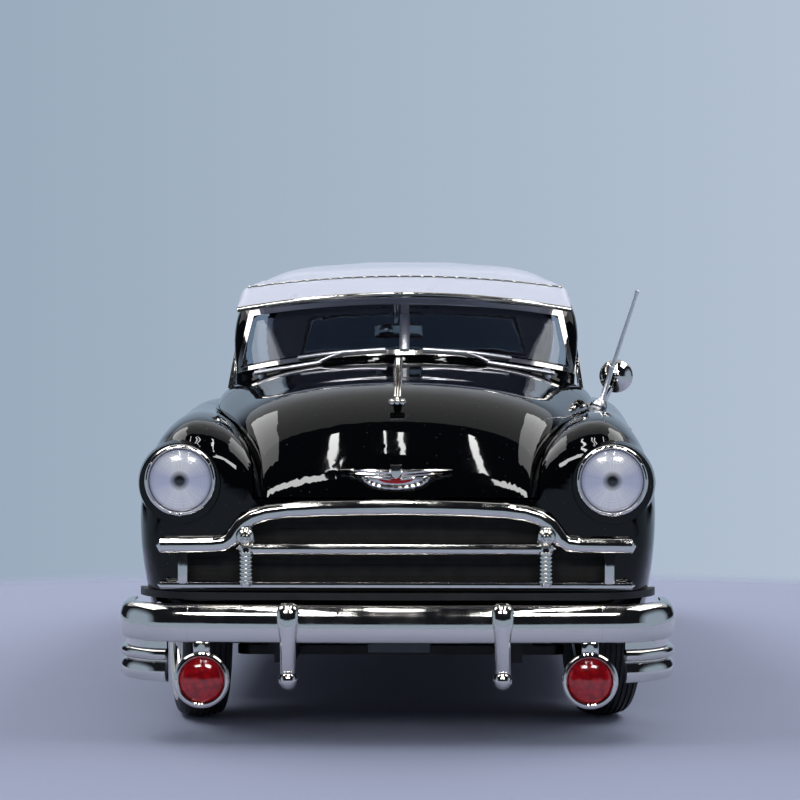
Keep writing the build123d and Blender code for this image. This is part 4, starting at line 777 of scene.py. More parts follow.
# ---------------------------------------------------------------- small outside fittings
class MODELCAR_OT_screen_fittings(bpy.types.Operator):
    """Wipers with rubber blades, the visor's seam and rivets, and a plated cap on the windshield's divider"""
    bl_idname = "modelcar.screen_fittings"
    bl_label = "Wipers and visor rivets"

    def execute(self, context):
        pitch = context.scene.modelcar_sizes.rivet
        bm, rubber = bmesh.new(), bmesh.new()
        turned(bm, [(-0.6, 0.0), (-0.6, 0.95), (0.9, 0.9), (1.3, 0.75), (1.5, 0.0)], (30.0, -55.6, 67.4),
               (0, -0.25, 0.97), 20)
        bar(bm, [(31.5, -56.6, 67.7), (27.0, -57.2, 68.5), (22.0, -57.6, 69.3), (17.6, -57.4, 70.0)],
            oval(1.0, 1.1, 12), FRONT, 0.5)
        bar(bm, [(18.5, -57.4, 69.9), (15.5, -56.4, 71.2), (13.0, -55.3, 72.0)], oval(0.7, 0.5, 10), FRONT,
            0.2)
        bar(bm, [(22.4, -54.0, 70.9), (17.5, -54.9, 71.6), (13.0, -55.3, 72.1), (8.5, -55.7, 72.4),
                 (4.0, -56.0, 72.7)], oval(1.0, 0.8, 12), FRONT, 0.4)
        bar(rubber, [(22.2, -53.5, 70.6), (13.0, -54.75, 71.8), (4.2, -55.5, 72.4)], oval(0.35, 0.7, 8),
            FRONT)
        for one, name, finish, old in ((bm, "plated_wiper_arms", "satin", ("wipers",)),
                                       (rubber, "wiper_blades", "rubber", ())):
            mirrored(one)
            piece(name, one, "car", finish, old, 35)
        bm = bmesh.new()
        count = int(2 * VISOR_HALF / pitch)
        seam = []
        for i in range(count + 1):
            x = VISOR_HALF * (2 * i / count - 1)
            where, normal = on_node("visor", (x, -50.5, 99.0), DOWN)
            seam.append(where + normal * 0.05)
            turned(bm, [(-0.2, 0.42), (0.15, 0.4), (0.34, 0.24), (0.4, 0.0)], where, normal, 8)
        bar(bm, seam, oval(0.5, 0.3, 8), FRONT, 0.2)
        piece("visor_seam_and_rivets", bm, "car", "chrome", (), 40)
        bm = bmesh.new()
        post = [on_node("windshield_frame", (0.13, -70.0, z), REAR)[0]
                for z in (72.6, 74.0, 76.0, 78.0, 80.0)]
        bar(bm, [(0, p.y - 0.15, p.z) for p in post], oval(2.1, 1.0, 14, 0.8), FRONT)
        piece("plated_divider_cap", bm, "car", "satin", (), 34)
        return {"FINISHED"}


class MODELCAR_OT_mirrors_aerial(bpy.types.Operator):
    """The round door mirror, the cabin mirror and the ball-footed aerial"""
    bl_idname = "modelcar.mirrors_aerial"
    bl_label = "Mirrors and aerial"

    def execute(self, context):
        bm = bmesh.new()
        head = [(-2.6, 0.0), (-2.5, 0.8), (-2.1, 1.9), (-1.3, 2.9), (-0.5, 3.4), (0.0, 3.6), (0.35, 3.55),
                (0.4, 3.2), (0.15, 3.15)]
        turned(bm, head + [(0.15, 0.0)], MIRROR, REAR, 36)
        turned(bm, [(-2.9, 0.0), (-2.85, 0.45), (-2.45, 0.75), (-2.2, 0.7)], MIRROR, REAR, 20)
        bar(bm, [(41.9, -43.6, 60.2), (42.7, -43.8, 62.0), (43.6, -43.8, 63.8), (44.4, -43.6, 65.0)],
            oval(1.7, 1.4, 12))
        turned(bm, [(-0.6, 0.0), (-0.6, 1.9), (0.2, 1.8), (0.6, 1.2), (0.7, 0.0)], (42.0, -43.6, 60.9),
               (0.35, 0, 0.94), 20)
        piece("plated_door_mirror", bm, "door_left", "chrome", ("door_mirror",), 35)

        bm = bmesh.new()
        lump(bm, (-6.6, -42.6, 74.8), (3.6, -41.4, 78.0), 0.55, 3)
        turned(bm, [(-1.2, 0.0), (-1.1, 0.8), (-0.6, 1.5), (0.2, 1.75), (0.8, 1.4)], (-4.1, -42.4, 76.4),
               REAR, 24)
        bar(bm, [(-2, -42.0, 78.0), (-2, -41.8, 80.0), (-2, -41.2, 82.6)], oval(1.0, 1.0, 10))
        piece("plated_cabin_mirror", bm, "car", "chrome", ("cabin_mirror",), 35)

        bm = bmesh.new()
        foot, tip = Vector((40.0, -80.0, 60.9)), Vector((47.8, -80.0, 84.9))
        way = (tip - foot).normalized()
        turned(bm, [(-0.6, 1.9), (0.1, 1.85), (0.45, 1.45), (0.9, 1.55), (1.6, 1.25), (2.0, 0.75),
                    (2.4, 0.55), (9.0, 0.5), (9.1, 0.42), (24.6, 0.36), (24.9, 0.46), (25.3, 0.44),
                    (25.6, 0.0)], foot, way, 20)
        piece("plated_aerial", bm, "car", "satin", ("antenna",), 35)
        return {"FINISHED"}


class MODELCAR_OT_body_details(bpy.types.Operator):
    """Plated tail lamp rings with red lenses, and the trunk lid's handle with its lock"""
    bl_idname = "modelcar.body_details"
    bl_label = "Body details"

    def execute(self, context):
        bm, lenses = bmesh.new(), bmesh.new()
        bezel = [(-2.0, 0.0), (-2.0, 3.2), (0.6, 3.2), (1.2, 3.05), (1.6, 2.75), (1.5, 2.45), (1.0, 2.25),
                 (-0.2, 2.2), (-0.2, 0.0)]
        lens = [(-0.1, 2.15), (1.1, 2.1), (1.7, 1.85), (2.2, 1.3), (2.55, 0.7), (2.7, 0.0), (-0.1, 0.0)]
        for side in (-1, 1):
            centre = (TAIL_X * side, TAIL_Y, TAIL_Z)
            turned(bm, bezel, centre, REAR, 36)
            turned(lenses, lens, centre, REAR, 36)
        piece("plated_tail_lamp_rings", bm, "car", "chrome", ("tail_lamp_bezels",), 35)
        piece("red_tail_lenses", lenses, "car", "red_lens", ("tail_lamp_lenses",), 30)

        bm = bmesh.new()
        low, high = (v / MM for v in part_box("lid_handle"))
        middle = (low + high) / 2
        bar(bm, [(x, high.y - 1.0 - 0.05 * x * x / 4, middle.z + 0.3)
                 for x in (-4.2, -2.8, -1.4, 0, 1.4, 2.8, 4.2)], oval(1.7, 1.3, 14), UP, 0.3)
        lump(bm, (-1.6, low.y, low.z), (1.6, high.y - 0.6, high.z), 0.35)
        turned(bm, [(-1.2, 0.9), (0.2, 0.9), (0.35, 0.6), (0.2, 0.3), (0.2, 0.0)],
               (0, high.y - 0.4, low.z + 0.5), REAR, 16)
        piece("plated_lid_handle", bm, "trunk_lid", "chrome", ("lid_handle",), 35)
        return {"FINISHED"}


# ---------------------------------------------------------------- cabin
class MODELCAR_OT_seats(bpy.types.Operator):
    """Front and rear benches: pleated cushions and backs, with plain rolls along their edges"""
    bl_idname = "modelcar.seats"
    bl_label = "Seats"

    def execute(self, context):
        pleat = context.scene.modelcar_sizes.pleat
        floor, tunnel, base = 19.75, 5.6, 30.5
        # front and back of the cushion, its top, the top of the back, and half the width
        for name, y_front, y_back, cushion, top, half in (("front_seat", -17.0, 15.1, 35.0, 62.0, 33.0),
                                                          ("rear_seat", 25.0, 49.2, 35.0, 60.0, 32.0)):
            bm = bmesh.new()
            lump(bm, (-half + 3, y_front + 3, floor), (-tunnel, y_back, base), 0.6)
            lump(bm, (tunnel, y_front + 3, floor), (half - 3, y_back, base), 0.6)
            lump(bm, (-half + 3, y_front + 3, 25.5), (half - 3, y_back, base), 0.6)
            lump(bm, (-half, y_front, cushion - 6), (half, y_back, cushion - 0.6), 1.8, 4)
            lean = Matrix.Translation((0, y_back - 2.5, cushion - 4)) @ Matrix.Rotation(radians(-9), 4, "X")
            tall = top - cushion + 4
            back = lump(bm, (-half, -2.4, 0), (half, 3, tall), 1.8, 4)
            bmesh.ops.transform(bm, matrix=lean, verts=back)
            count = round(2 * (half - 3) / pleat)
            pitch = 2 * (half - 3) / count
            along_seat = (y_front + 2.2, y_front + 8, y_back - 10, y_back - 6)
            up_back = (5.5, tall * 0.5, tall - 5.5)
            for i in range(count):
                x = -half + 3 + pitch * (i + 0.5)
                bar(bm, [(x, y, cushion - 0.75) for y in along_seat], oval(pitch * 1.02, 1.5, 10, 0.9), UP,
                    0.8)
                bar(bm, [lean @ Vector((x, -2.35, z)) for z in up_back], oval(pitch * 1.02, 1.3, 10, 0.9),
                    FRONT, 0.8)
            bar(bm, [(x, y_front + 0.9, cushion - 1.4) for x in (-half + 1.2, 0, half - 1.2)],
                oval(2.2, 2.2, 12), UP, 0.7)
            bar(bm, [lean @ Vector((x, -0.4, tall - 1.6)) for x in (-half + 2, 0, half - 2)],
                oval(3.6, 2.6, 14), UP, 0.9)
            piece("pleated_" + name, bm, "car", "maroon", (name,), 34)
        return {"FINISHED"}


def round_ring(radius, wire, steps, ahead=0.0):
    """The closed profile of a ring of round wire."""
    turn = [2 * pi * i / steps for i in range(steps + 1)]
    return [(ahead + wire * sin(a), radius + wire * cos(a)) for a in turn]


class MODELCAR_OT_driving(bpy.types.Operator):
    """Gauges, radio face, knobs, glove box trim, pedals, and the steering wheel with its horn ring"""
    bl_idname = "modelcar.driving"
    bl_label = "Dashboard and wheel"

    def execute(self, context):
        bm, faces, flat = bmesh.new(), bmesh.new(), bmesh.new()
        to_driver, gauge_z = (0, 0.98, 0.2), 58.6
        for x, r in ((18.5, 3.1), (26.0, 2.2), (11.2, 2.2)):
            bezel = [(0.0, r), (0.5, r + 0.2), (0.75, r), (0.5, r - 0.25), (0.2, r - 0.3)]
            turned(bm, bezel, (x, DASH_Y, gauge_z), to_driver, 32)
            turned(faces, [(0.1, 0.0), (0.25, r - 0.25), (0.0, r - 0.2)], (x, DASH_Y, gauge_z), to_driver, 32)
            # the pointer
            lump(bm, (x - 0.12, -45.65, gauge_z), (x + 0.12, -45.5, gauge_z + r - 0.6), 0.04, 1,
                 Matrix.Rotation(radians(35), 3, "Y"))
        lump(bm, (-5.5, -46.5, 54.6), (5.5, -45.2, 57.2), 0.35)
        for i in range(9):
            lump(flat, (-4.6 + i * 1.1, -45.4, 55.0), (-4.1 + i * 1.1, -45.05, 56.8), 0.08, 1)
        knob = [(-0.5, 0.3), (0.4, 0.35), (0.5, 0.75), (1.0, 0.8), (1.3, 0.5), (1.35, 0.0)]
        for x in (-4.5, 0, 4.5, 9.0, 30.5):
            turned(bm, knob, (x, DASH_Y, 61.0), to_driver, 14)
        lump(bm, (-26, -45.9, 61.7), (-12, -45.2, 62.3), 0.2)
        turned(bm, [(-0.3, 0.5), (0.5, 0.6), (0.7, 0.0)], (-19, -45.6, 59.4), REAR, 14)
        bar(bm, [(x, -45.9, 53.9) for x in (-34.5, 0, 34.5)], oval(1.0, 0.5, 10), UP, 0.2)
        piece("plated_dash_fittings", bm, "car", "chrome", (), 35)
        piece("gauge_dials", faces, "car", "cream", (), 35)
        for x, z in ((13.5, 25.0), (17.0, 25.0), (21.5, 24.2)):
            lump(flat, (x - 1.2, -57.5, z - 1.3), (x + 1.2, -56.6, z + 1.3), 0.3, 2,
                 Matrix.Rotation(radians(-28), 3, "X"))
            bar(flat, [(x, -57.3, z), (x, -59.3, z + 2.5), (x, -60.3, z + 6)], oval(0.6, 0.6, 8))
        piece("pedals_and_grille_slots", flat, "car", "plastic", (), 35)

        hub, way = STEERING_HUB, STEERING_AXIS
        bm, ring = bmesh.new(), bmesh.new()
        side = way.orthogonal().normalized()
        other = way.cross(side)

        def spoke(degrees):
            """Which way a spoke points."""
            return side * cos(radians(degrees)) + other * sin(radians(degrees))

        turned(bm, round_ring(10.5, 0.62, 12), hub, way, 64)
        turned(bm, [(-30.5, 0.0), (-30.5, 0.95), (-2.2, 0.95), (-1.6, 1.5), (-0.8, 2.1), (0.5, 2.2),
                    (0.7, 1.6), (0.7, 0.0)], hub, way, 24)
        for out in (spoke(90), spoke(210), spoke(330)):
            bar(bm, [hub + out * r - way * (0.3 * sin(pi * r / 10.5)) for r in (1.4, 4, 7, 10.3)],
                oval(0.55, 1.25, 10), way)
        piece("moulded_steering_wheel", bm, "steering_wheel", "maroon", ("steering_wheel",), 40)
        turned(ring, round_ring(6.0, 0.22, 8, 0.35), hub, way, 48)
        turned(ring, [(0.5, 1.5), (0.95, 1.4), (1.25, 0.8), (1.3, 0.0)], hub, way, 24)
        for out in (spoke(30), spoke(150), spoke(270)):
            bar(ring, [hub + way * 0.4 + out * r for r in (1.0, 3.5, 6.0)], oval(0.3, 0.5, 8), way)
        piece("plated_horn_ring", ring, "steering_wheel", "chrome", (), 40)
        return {"FINISHED"}


class MODELCAR_OT_doors(bpy.types.Operator):
    """Door cards with pleats, an armrest, a window crank, a handle and two bright strips"""
    bl_idname = "modelcar.doors"
    bl_label = "Door fittings"

    def execute(self, context):
        for side, body in ((1, "door_left"), (-1, "door_right")):
            bm, cloth = bmesh.new(), bmesh.new()
            x = CARD_X * side
            out = (-side, 0, 0)
            turned(bm, [(-0.3, 0.9), (0.25, 0.85), (0.45, 0.5), (0.5, 0.0)], (x, -22.0, 44.5), out, 16)
            bar(bm, [(x - 0.5 * side, -22.0, 44.5), (x - 0.75 * side, -20.4, 43.4),
                     (x - 0.8 * side, -18.6, 42.3)], oval(0.7, 0.4, 8), (1, 0, 0))
            turned(bm, [(-0.1, 0.4), (0.9, 0.55), (1.2, 0.4), (1.3, 0.0)], (x - 0.7 * side, -18.6, 42.3), out,
                   12)
            turned(bm, [(-0.3, 0.8), (0.2, 0.75), (0.4, 0.4), (0.45, 0.0)], (x, 6.0, 46.5), out, 14)
            bar(bm, [(x - 0.4 * side, 6.0, 46.5), (x - 0.6 * side, 4.2, 46.9), (x - 0.6 * side, 2.4, 46.7)],
                oval(0.6, 0.4, 8), (1, 0, 0))
            near, far = sorted((x, x - 0.35 * side))
            for z in (26.0, 52.0):
                lump(bm, (near, -41.0, z), (far, 9.0, z + 0.6), 0.12, 1)
            piece("plated_card_fittings_" + body[5:], bm, body, "chrome", (), 35)
            bar(cloth, [(x - 0.9 * side, y, 39.2) for y in (-16, -8, 0, 6)], oval(2.4, 2.6, 14, 0.8), UP, 1.0)
            long, count = 47.0, 14
            for i in range(count):
                y = -39.5 + long * (i + 0.5) / count
                bar(cloth, [(x, y, z) for z in (27.5, 33, 37)], oval(long / count, 0.7, 8), out, 0.3)
            piece("pleated_card_" + body[5:], cloth, body, "maroon", (), 34)
        return {"FINISHED"}


# ---------------------------------------------------------------- under the hood, in the trunk and underneath
class MODELCAR_OT_engine_bay(bpy.types.Operator):
    """The engine's fan, ribbed cover, exhaust manifold, air cleaner, hoses and leads, and the battery"""
    bl_idname = "modelcar.engine_bay"
    bl_label = "Engine bay"

    def execute(self, context):
        metal, black, bright = bmesh.new(), bmesh.new(), bmesh.new()
        for i in range(4):
            blade = lump(bright, (-1.1, -0.25, 1.6), (1.1, 0.25, 7.6), 0.15, 1)
            place = Matrix.Translation((0, FAN_Y + 0.1, FAN_Z)) @ Matrix.Rotation(pi / 2 * i + 0.4, 4, "Y")
            bmesh.ops.transform(bright, matrix=place, verts=blade)
        turned(bright, [(-1.0, 0.0), (-0.9, 1.3), (0.3, 1.6), (0.3, 0.0)], (0, FAN_Y, FAN_Z), REAR, 20)
        piece("engine_fan", bright, "car", "satin", (), 35)
        for i in range(7):
            y = -105.0 + i * 3.6
            lump(metal, (-5.1, y, 49.6), (5.1, y + 0.7, 50.4), 0.15, 1)
        for i in range(6):
            y = -104.5 + i * 5.2
            bar(metal, [(-6.2, y, 43.5), (-8.6, y, 42.6), (-10.2, y + 0.5, 40.0), (-10.4, y + 1, 36.5)],
                oval(1.7, 1.7, 10))
        bar(metal, [(-10.4, -106, 36.2), (-10.4, -92, 36.0), (-10.4, -78, 36.0)], oval(2.4, 2.4, 12), UP, 0.8)
        piece("exhaust_manifold", metal, "car", "zinc", (), 35)
        turned(black, [(0.0, 0.0), (0.0, 5.8), (0.4, 6.1), (1.0, 6.1), (1.3, 5.7), (3.1, 5.7), (3.4, 6.1),
                       (4.1, 6.1), (4.5, 5.6), (4.7, 1.4), (5.2, 1.2), (5.3, 0.0)], (0, -94, 50.9), UP, 40)
        lump(black, (14.5, -105.5, 26.5), (24.0, -97.5, 34.0), 0.6)
        for x in (16.2, 22.3):
            turned(black, [(0.0, 0.8), (0.8, 0.7), (0.9, 0.0)], (x, -101.5, 34.0), UP, 12)
        bar(black, [(2, -110, 44), (2, -114, 46), (1, -118, 46.5)], oval(2.2, 2.2, 12))
        bar(black, [(16.2, -101.5, 34.6), (13, -98, 38), (9.5, -92, 38), (7.2, -88, 34)], oval(0.8, 0.8, 8))
        for i in range(6):
            lead = [(-4.5 + i * 0.4, -104 + i * 5.0, 49), (6.0, -102 + i * 4.5, 46.5),
                    (7.6, -97 + i * 2.4, 40)]
            bar(black, lead, oval(0.5, 0.5, 6))
        piece("air_cleaner_and_hoses", black, "car", "plastic", (), 35)
        return {"FINISHED"}


class MODELCAR_OT_trunk_and_floor(bpy.types.Operator):
    """A ribbed mat in the trunk, leaf springs, screw heads and ribs under the floor, and the exhaust's tip"""
    bl_idname = "modelcar.trunk_and_floor"
    bl_label = "Trunk and underside"

    def execute(self, context):
        bm = bmesh.new()
        for i in range(15):
            x = -29.4 + i * 4.2
            bar(bm, [(x, y, 19.75) for y in (80.5, 94, 107)], oval(2.6, 0.8, 8), UP, 0.3)
        piece("trunk_mat", bm, "car", "carpet", (), 34)
        bm = bmesh.new()
        for reach, drop in ((20.0, 0.0), (14.5, 0.385), (9.0, 0.77)):
            for x in (-SPRING_X, SPRING_X):
                line = []
                for i in range(9):
                    off = reach * (i / 4 - 1)
                    line.append((x, SPRING_Y + off, 12.95 + 3.4 * (off / 26) ** 2 - drop))
                bar(bm, line, oval(2.6, 0.6, 10, 0.6), UP, 0.3)
        half_bolt = [(-1.9, 20.5), (-1.9, 13.0), (-1.6, 12.0)]
        u_bolt = half_bolt + [(-across, z) for across, z in half_bolt[::-1]]
        for x in (-SPRING_X, SPRING_X):
            for y in (SPRING_Y - 2.3, SPRING_Y + 2.3):
                bar(bm, [(x + across, y, z) for across, z in u_bolt], oval(0.6, 0.6, 8), REAR)
        for x in (-22.0, 22.0):
            for y in (-72, -52, -22, -8, 6, 20, 50):
                turned(bm, [(0.0, 0.9), (0.4, 0.85), (0.55, 0.5), (0.6, 0.0)], (x, y, 12.85), DOWN, 12)
        for y in (-60, -45, -20, 0, 20):
            for side in (-1, 1):
                bar(bm, [(side * x, y, 16.75) for x in (27, 34, 41)], oval(1.6, 0.9, 10), UP, 0.5)
        for side in (-1, 1):
            bar(bm, [(side * 32.0, y, 16.75) for y in (-62, -30, 10, 44)], oval(1.6, 0.9, 10), UP, 0.5)
        piece("springs_and_floor_ribs", bm, "car", "zinc", (), 34)
        bm = bmesh.new()
        tip = [(-1.6, 1.25), (1.2, 1.3), (1.45, 1.15), (1.2, 0.85), (-1.6, 0.85), (-1.6, 1.25)]
        turned(bm, tip, (EXHAUST_X, 129.6, 14.6), REAR, 24)
        clamp = [(-0.5, 1.3), (0.5, 1.3), (0.5, 1.6), (-0.5, 1.6), (-0.5, 1.3)]
        for y in (-2.4, 30.4):
            turned(bm, clamp, (EXHAUST_X, y, 14.5), REAR, 20)
        piece("exhaust_tip_and_clamps", bm, "car", "chrome", (), 34)
        return {"FINISHED"}


class MODELCAR_OT_wheel_houses(bpy.types.Operator):
    """Moulded housings over the wheels, inside the arches"""
    bl_idname = "modelcar.wheel_houses"
    bl_label = "Wheel houses"

    def execute(self, context):
        bm = bmesh.new()
        half, steps = HOUSE_WIDE / 2, 24
        for spot, side in WHEEL_SPOTS:
            centre = wheel_frame(spot, side)[0]
            # the front ones are larger and shorter, which leaves room for a steered tyre
            radius, start_at = HOUSE_ARC[spot.split("_")[0]]
            rows = []
            for i in range(steps + 1):
                a = radians(start_at + (180 - 2 * start_at) * i / steps)
                at = (HOUSE_X * side, centre.y + radius * cos(a), centre.z + radius * sin(a))
                rows.append(station(at, (0, -sin(a), cos(a)), (0, cos(a), sin(a))))
            swept(bm, [(-half, 0.0), (half, 0.0), (half, HOUSE_THICK), (-half, HOUSE_THICK)], rows)
        piece("moulded_wheel_houses", bm, "car", "plastic", (), 30)
        return {"FINISHED"}


# ---------------------------------------------------------------- finishes of the solid model's own pieces
NODE_FINISH = {  # what isn't named here is plated
    "black": "body_shell hood door_left door_right trunk_lid",
    "white": "visor",
    "two_tone": "roof_shell",
    "glass": "windshield_glass",
    "smoked": "rear_window_glass",
    "maroon": "interior_tub dashboard door_card_left door_card_right rear_seat front_seat",
    "plastic": "trunk_tray chassis gravel_pan knuckle_left knuckle_right tie_rod rear_axle",
    "dark": "grille_screen",
    "engine": "engine",
    "silver": "exhaust",
}
WELD, EVEN_ANGLE = 0.02 * MM, radians(28)


class MODELCAR_OT_finishes(bpy.types.Operator):
    """Makes every finish and gives the solid model's own pieces theirs, with even shading on their curves"""
    bl_idname = "modelcar.finishes"
    bl_label = "Finishes"

    def execute(self, context):
        make_finishes(context.scene.modelcar_colours)
        by_node = {node: name for name, nodes in NODE_FINISH.items() for node in nodes.split()}
        for name, node in frame["nodes"].items():
            node.data.materials.clear()
            node.data.materials.append(FINISH[by_node.get(name, "chrome")])
            node.data.polygons.foreach_set("use_smooth", [True] * len(node.data.polygons))
            node.modifiers.new("weld", "WELD").merge_threshold = WELD
            node.modifiers.new("edges", "EDGE_SPLIT").split_angle = EVEN_ANGLE
            node.modifiers.new("even", "WEIGHTED_NORMAL").keep_sharp = True
        return {"FINISHED"}


# ---------------------------------------------------------------- studio, in metres and degrees
CAMERA_PLACE, CAMERA_DOWN, CAMERA_TURN = (0.014, -0.739, 0.082), 1.67, 1.25
CAMERA_LENS, CAMERA_SENSOR = 145.8, 36
FLOOR_R = 4.0
FLOOR_FADE = (0.23, 0.275)  # where the floor's paint starts to give way to the backdrop, and where it ends
SMOOTH = {"interpolation_type": "SMOOTHSTEP"}
# Name, place, tilt, size and watts. Untilted lamps point straight down. The glints show in reflections only,
# and the front lamp in none.
STUDIO_LAMPS = (
    ("glint_left", (-0.15, -0.62, 0.90), (0, 0, 0), (0.024, 0.96), 1.8),
    ("glint_right", (0.15, -0.62, 0.90), (0, 0, 0), (0.024, 0.96), 1.8),
    ("glint_middle", (-0.040, -0.42, 0.90), (0, 0, 0), (0.008, 0.5), 0.32),
    ("glint_near", (-0.014, -0.45, 0.90), (0, 0, 0), (0.008, 0.5), 0.32),
    ("glint_bar_left", (-0.36, -1.42, 0.90), (0, 0, 0), (0.38, 0.42), 9.0),
    ("glint_bar_right", (0.36, -1.42, 0.90), (0, 0, 0), (0.38, 0.42), 9.0),
    ("side_left", (-0.60, 0.30, 0.85), (0, -35, 0), (0.40, 1.3), 4.6),
    ("side_right", (0.60, 0.30, 0.85), (0, 35, 0), (0.40, 1.3), 4.6),
    ("front_soft", (0.0, -1.5, 0.75), (63, 0, 0), (1.2, 0.35), 4.0),
    ("top_soft", (0.0, 0.9, 1.3), (-35, 0, 0), (3.0, 1.8), 8.2),
)


def floor_paint(colour):
    """Matt table paint near the car, which gives way to the backdrop's own tone further out."""
    material, tree, shader, place = start("studio_floor_paint", 0.8)
    tree.links.new(two_tone(tree, noise(tree, place, 60.0), colour, "#9CA3BC"), shader.inputs["Base Color"])
    distance = add(tree, "ShaderNodeVectorMath", {0: place}, operation="LENGTH").outputs["Value"]
    clear = add(tree, "ShaderNodeBsdfTransparent").outputs["BSDF"]
    edge = remap(tree, distance, *FLOOR_FADE, **SMOOTH)
    pool = add(tree, "ShaderNodeMixShader", {0: edge, 1: shader.outputs["BSDF"], 2: clear})
    tree.links.new(pool.outputs["Shader"], tree.nodes["Material Output"].inputs["Surface"])
    return material


def add_floor(scene, colour):
    """A round floor under the car."""
    bm = bmesh.new()
    bmesh.ops.create_circle(bm, cap_ends=True, segments=96, radius=FLOOR_R)
    mesh = bpy.data.meshes.new("floor")
    bm.to_mesh(mesh)
    bm.free()
    floor = bpy.data.objects.new("floor", mesh)
    scene.collection.objects.link(floor)
    mesh.materials.append(floor_paint(colour))


def add_backdrop(scene, colour):
    """The camera and glass see an even wall with painted light, a little lighter towards the right. Gloss
    sees a dark room, pale near the horizon behind the car and at its sides, and below it. All else gets a
    soft fill."""
    world = bpy.data.worlds.new("studio")
    scene.world = world
    world.use_nodes = True
    tree = world.node_tree
    tree.nodes.clear()
    paths = add(tree, "ShaderNodeLightPath").outputs
    way = add(tree, "ShaderNodeTexCoord").outputs["Generated"]
    x, y, z = (along(tree, way, axis) for axis in range(3))
    aside = add(tree, "ShaderNodeMath", {0: x}, operation="ABSOLUTE").outputs[0]
    low = remap(tree, z, 0.22, 0.70, 1.0, 0.0, **SMOOTH)
    behind = remap(tree, y, -0.15, 0.45, **SMOOTH)
    narrow = remap(tree, aside, 0.30, 0.55, 1.0, 0.0, **SMOOTH)
    beside = add(tree, "ShaderNodeMath", {0: remap(tree, aside, 0.80, 0.93), 1: low},
                 operation="MULTIPLY").outputs[0]
    below = remap(tree, z, -0.05, -0.02, 1.0, 0.0)
    pale = low
    steps = (("MULTIPLY", behind), ("MULTIPLY", narrow), ("MAXIMUM", beside), ("MAXIMUM", below))
    for operation, other in steps:
        pale = add(tree, "ShaderNodeMath", {0: pale, 1: other}, operation=operation).outputs[0]
    wall, room, fill = (
        add(tree, "ShaderNodeBackground", {"Color": shade, "Strength": strength}).outputs["Background"]
        for shade, strength in (
            # painted light: the wall is lighter towards the right
            (two_tone(tree, remap(tree, x, -0.15, 0.12), colour, "#B4C2D2"), 1.0),
            (two_tone(tree, pale, "#17191E", colour), 1.0),
            (linear("#E4E9F6"), 0.42),
        )
    )
    camera, through = paths["Is Camera Ray"], paths["Is Transmission Ray"]
    straight = add(tree, "ShaderNodeMath", {0: camera, 1: through}, operation="MAXIMUM").outputs[0]
    bounced = add(tree, "ShaderNodeMixShader", {0: paths["Is Glossy Ray"], 1: fill, 2: room})
    both = add(tree, "ShaderNodeMixShader", {0: straight, 1: bounced.outputs["Shader"], 2: wall})
    tree.links.new(both.outputs["Shader"], add(tree, "ShaderNodeOutputWorld").inputs["Surface"])


def add_lamp(scene, name, place, tilt, size, power):
    """A flat rectangular lamp."""
    lamp = bpy.data.lights.new(name, "AREA")
    lamp.shape, lamp.energy = "RECTANGLE", power
    lamp.size, lamp.size_y = size
    made = bpy.data.objects.new(name, lamp)
    made.location = place
    made.rotation_euler = [radians(a) for a in tilt]
    made.visible_glossy = name != "front_soft"
    made.visible_diffuse = not name.startswith("glint")
    scene.collection.objects.link(made)


def add_camera(scene):
    """The camera, low in front of the car, looking a little down and to the left."""
    lens = bpy.data.cameras.new("camera")
    lens.lens, lens.sensor_width = CAMERA_LENS, CAMERA_SENSOR
    lens.clip_start, lens.clip_end = 0.01, 50
    camera = bpy.data.objects.new("camera", lens)
    camera.location = CAMERA_PLACE
    camera.rotation_euler = (radians(90 - CAMERA_DOWN), 0, radians(CAMERA_TURN))
    scene.collection.objects.link(camera)
    scene.camera = camera


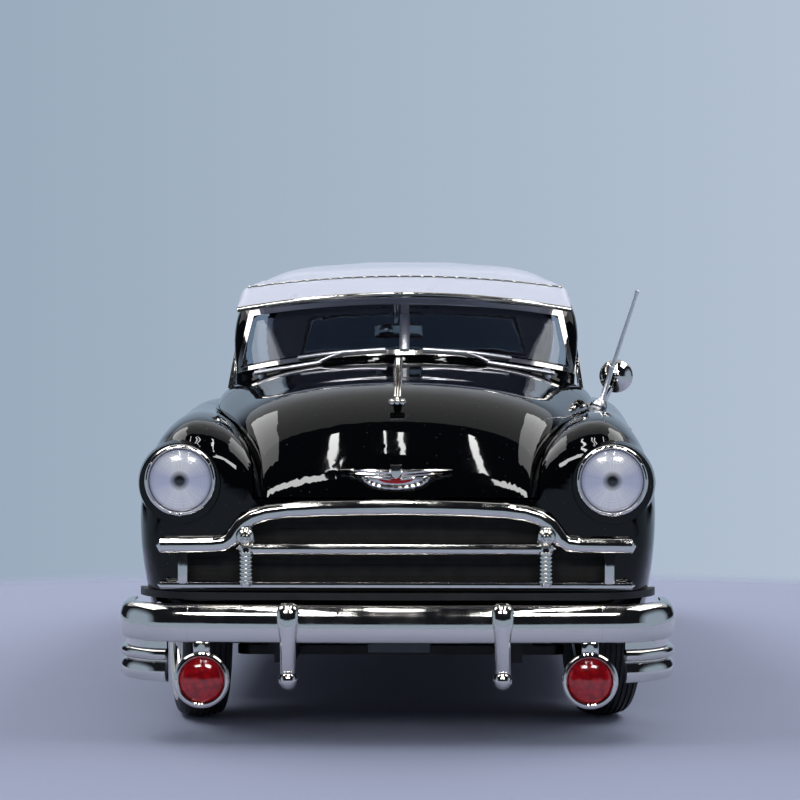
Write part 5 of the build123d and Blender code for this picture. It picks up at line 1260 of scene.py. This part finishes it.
class MODELCAR_OT_stage(bpy.types.Operator):
    """Pale floor, a backdrop with painted light that makes it lighter towards the right, soft lamps and the
    camera
    """
    bl_idname = "modelcar.stage"
    bl_label = "Studio"

    def execute(self, context):
        scene, colours = context.scene, context.scene.modelcar_colours
        scene.view_settings.view_transform = "Standard"
        add_floor(scene, colours.floor)
        add_backdrop(scene, colours.backdrop)
        for lamp in STUDIO_LAMPS:
            add_lamp(scene, *lamp)
        add_camera(scene)
        return {"FINISHED"}


# ---------------------------------------------------------------- panel, registration and main
OPERATORS = (
    MODELCAR_OT_finishes, MODELCAR_OT_tyres, MODELCAR_OT_wheels, MODELCAR_OT_grille, MODELCAR_OT_bumpers,
    MODELCAR_OT_headlamps, MODELCAR_OT_fog_lamps, MODELCAR_OT_crest, MODELCAR_OT_ornament,
    MODELCAR_OT_screen_fittings, MODELCAR_OT_mirrors_aerial, MODELCAR_OT_body_details, MODELCAR_OT_seats,
    MODELCAR_OT_driving, MODELCAR_OT_doors, MODELCAR_OT_engine_bay, MODELCAR_OT_trunk_and_floor,
    MODELCAR_OT_wheel_houses, MODELCAR_OT_stage,
)


class MODELCAR_PT_panel(bpy.types.Panel):
    """Lists the model car's steps, sizes and colours"""
    bl_idname = "MODELCAR_PT_panel"
    bl_label = "Model Car"
    bl_space_type = "VIEW_3D"
    bl_region_type = "UI"
    bl_category = "Model Car"

    def draw(self, context):
        for group in (context.scene.modelcar_colours, context.scene.modelcar_sizes):
            for name in type(group).__annotations__:
                self.layout.prop(group, name)
        for operator in OPERATORS:
            self.layout.operator(operator.bl_idname)


CLASSES = (CarColours, CarSizes, *OPERATORS, MODELCAR_PT_panel)


def register():
    for cls in CLASSES:
        bpy.utils.register_class(cls)
    bpy.types.Scene.modelcar_colours = bpy.props.PointerProperty(type=CarColours)
    bpy.types.Scene.modelcar_sizes = bpy.props.PointerProperty(type=CarSizes)


def unregister():
    del bpy.types.Scene.modelcar_sizes
    del bpy.types.Scene.modelcar_colours
    for cls in reversed(CLASSES):
        bpy.utils.unregister_class(cls)


def main():
    register()
    for operator in OPERATORS:
        group, name = operator.bl_idname.split(".")
        if getattr(getattr(bpy.ops, group), name)() != {"FINISHED"}:
            raise RuntimeError(operator.bl_label + " could not finish")


if __name__ == "__main__":
    main()
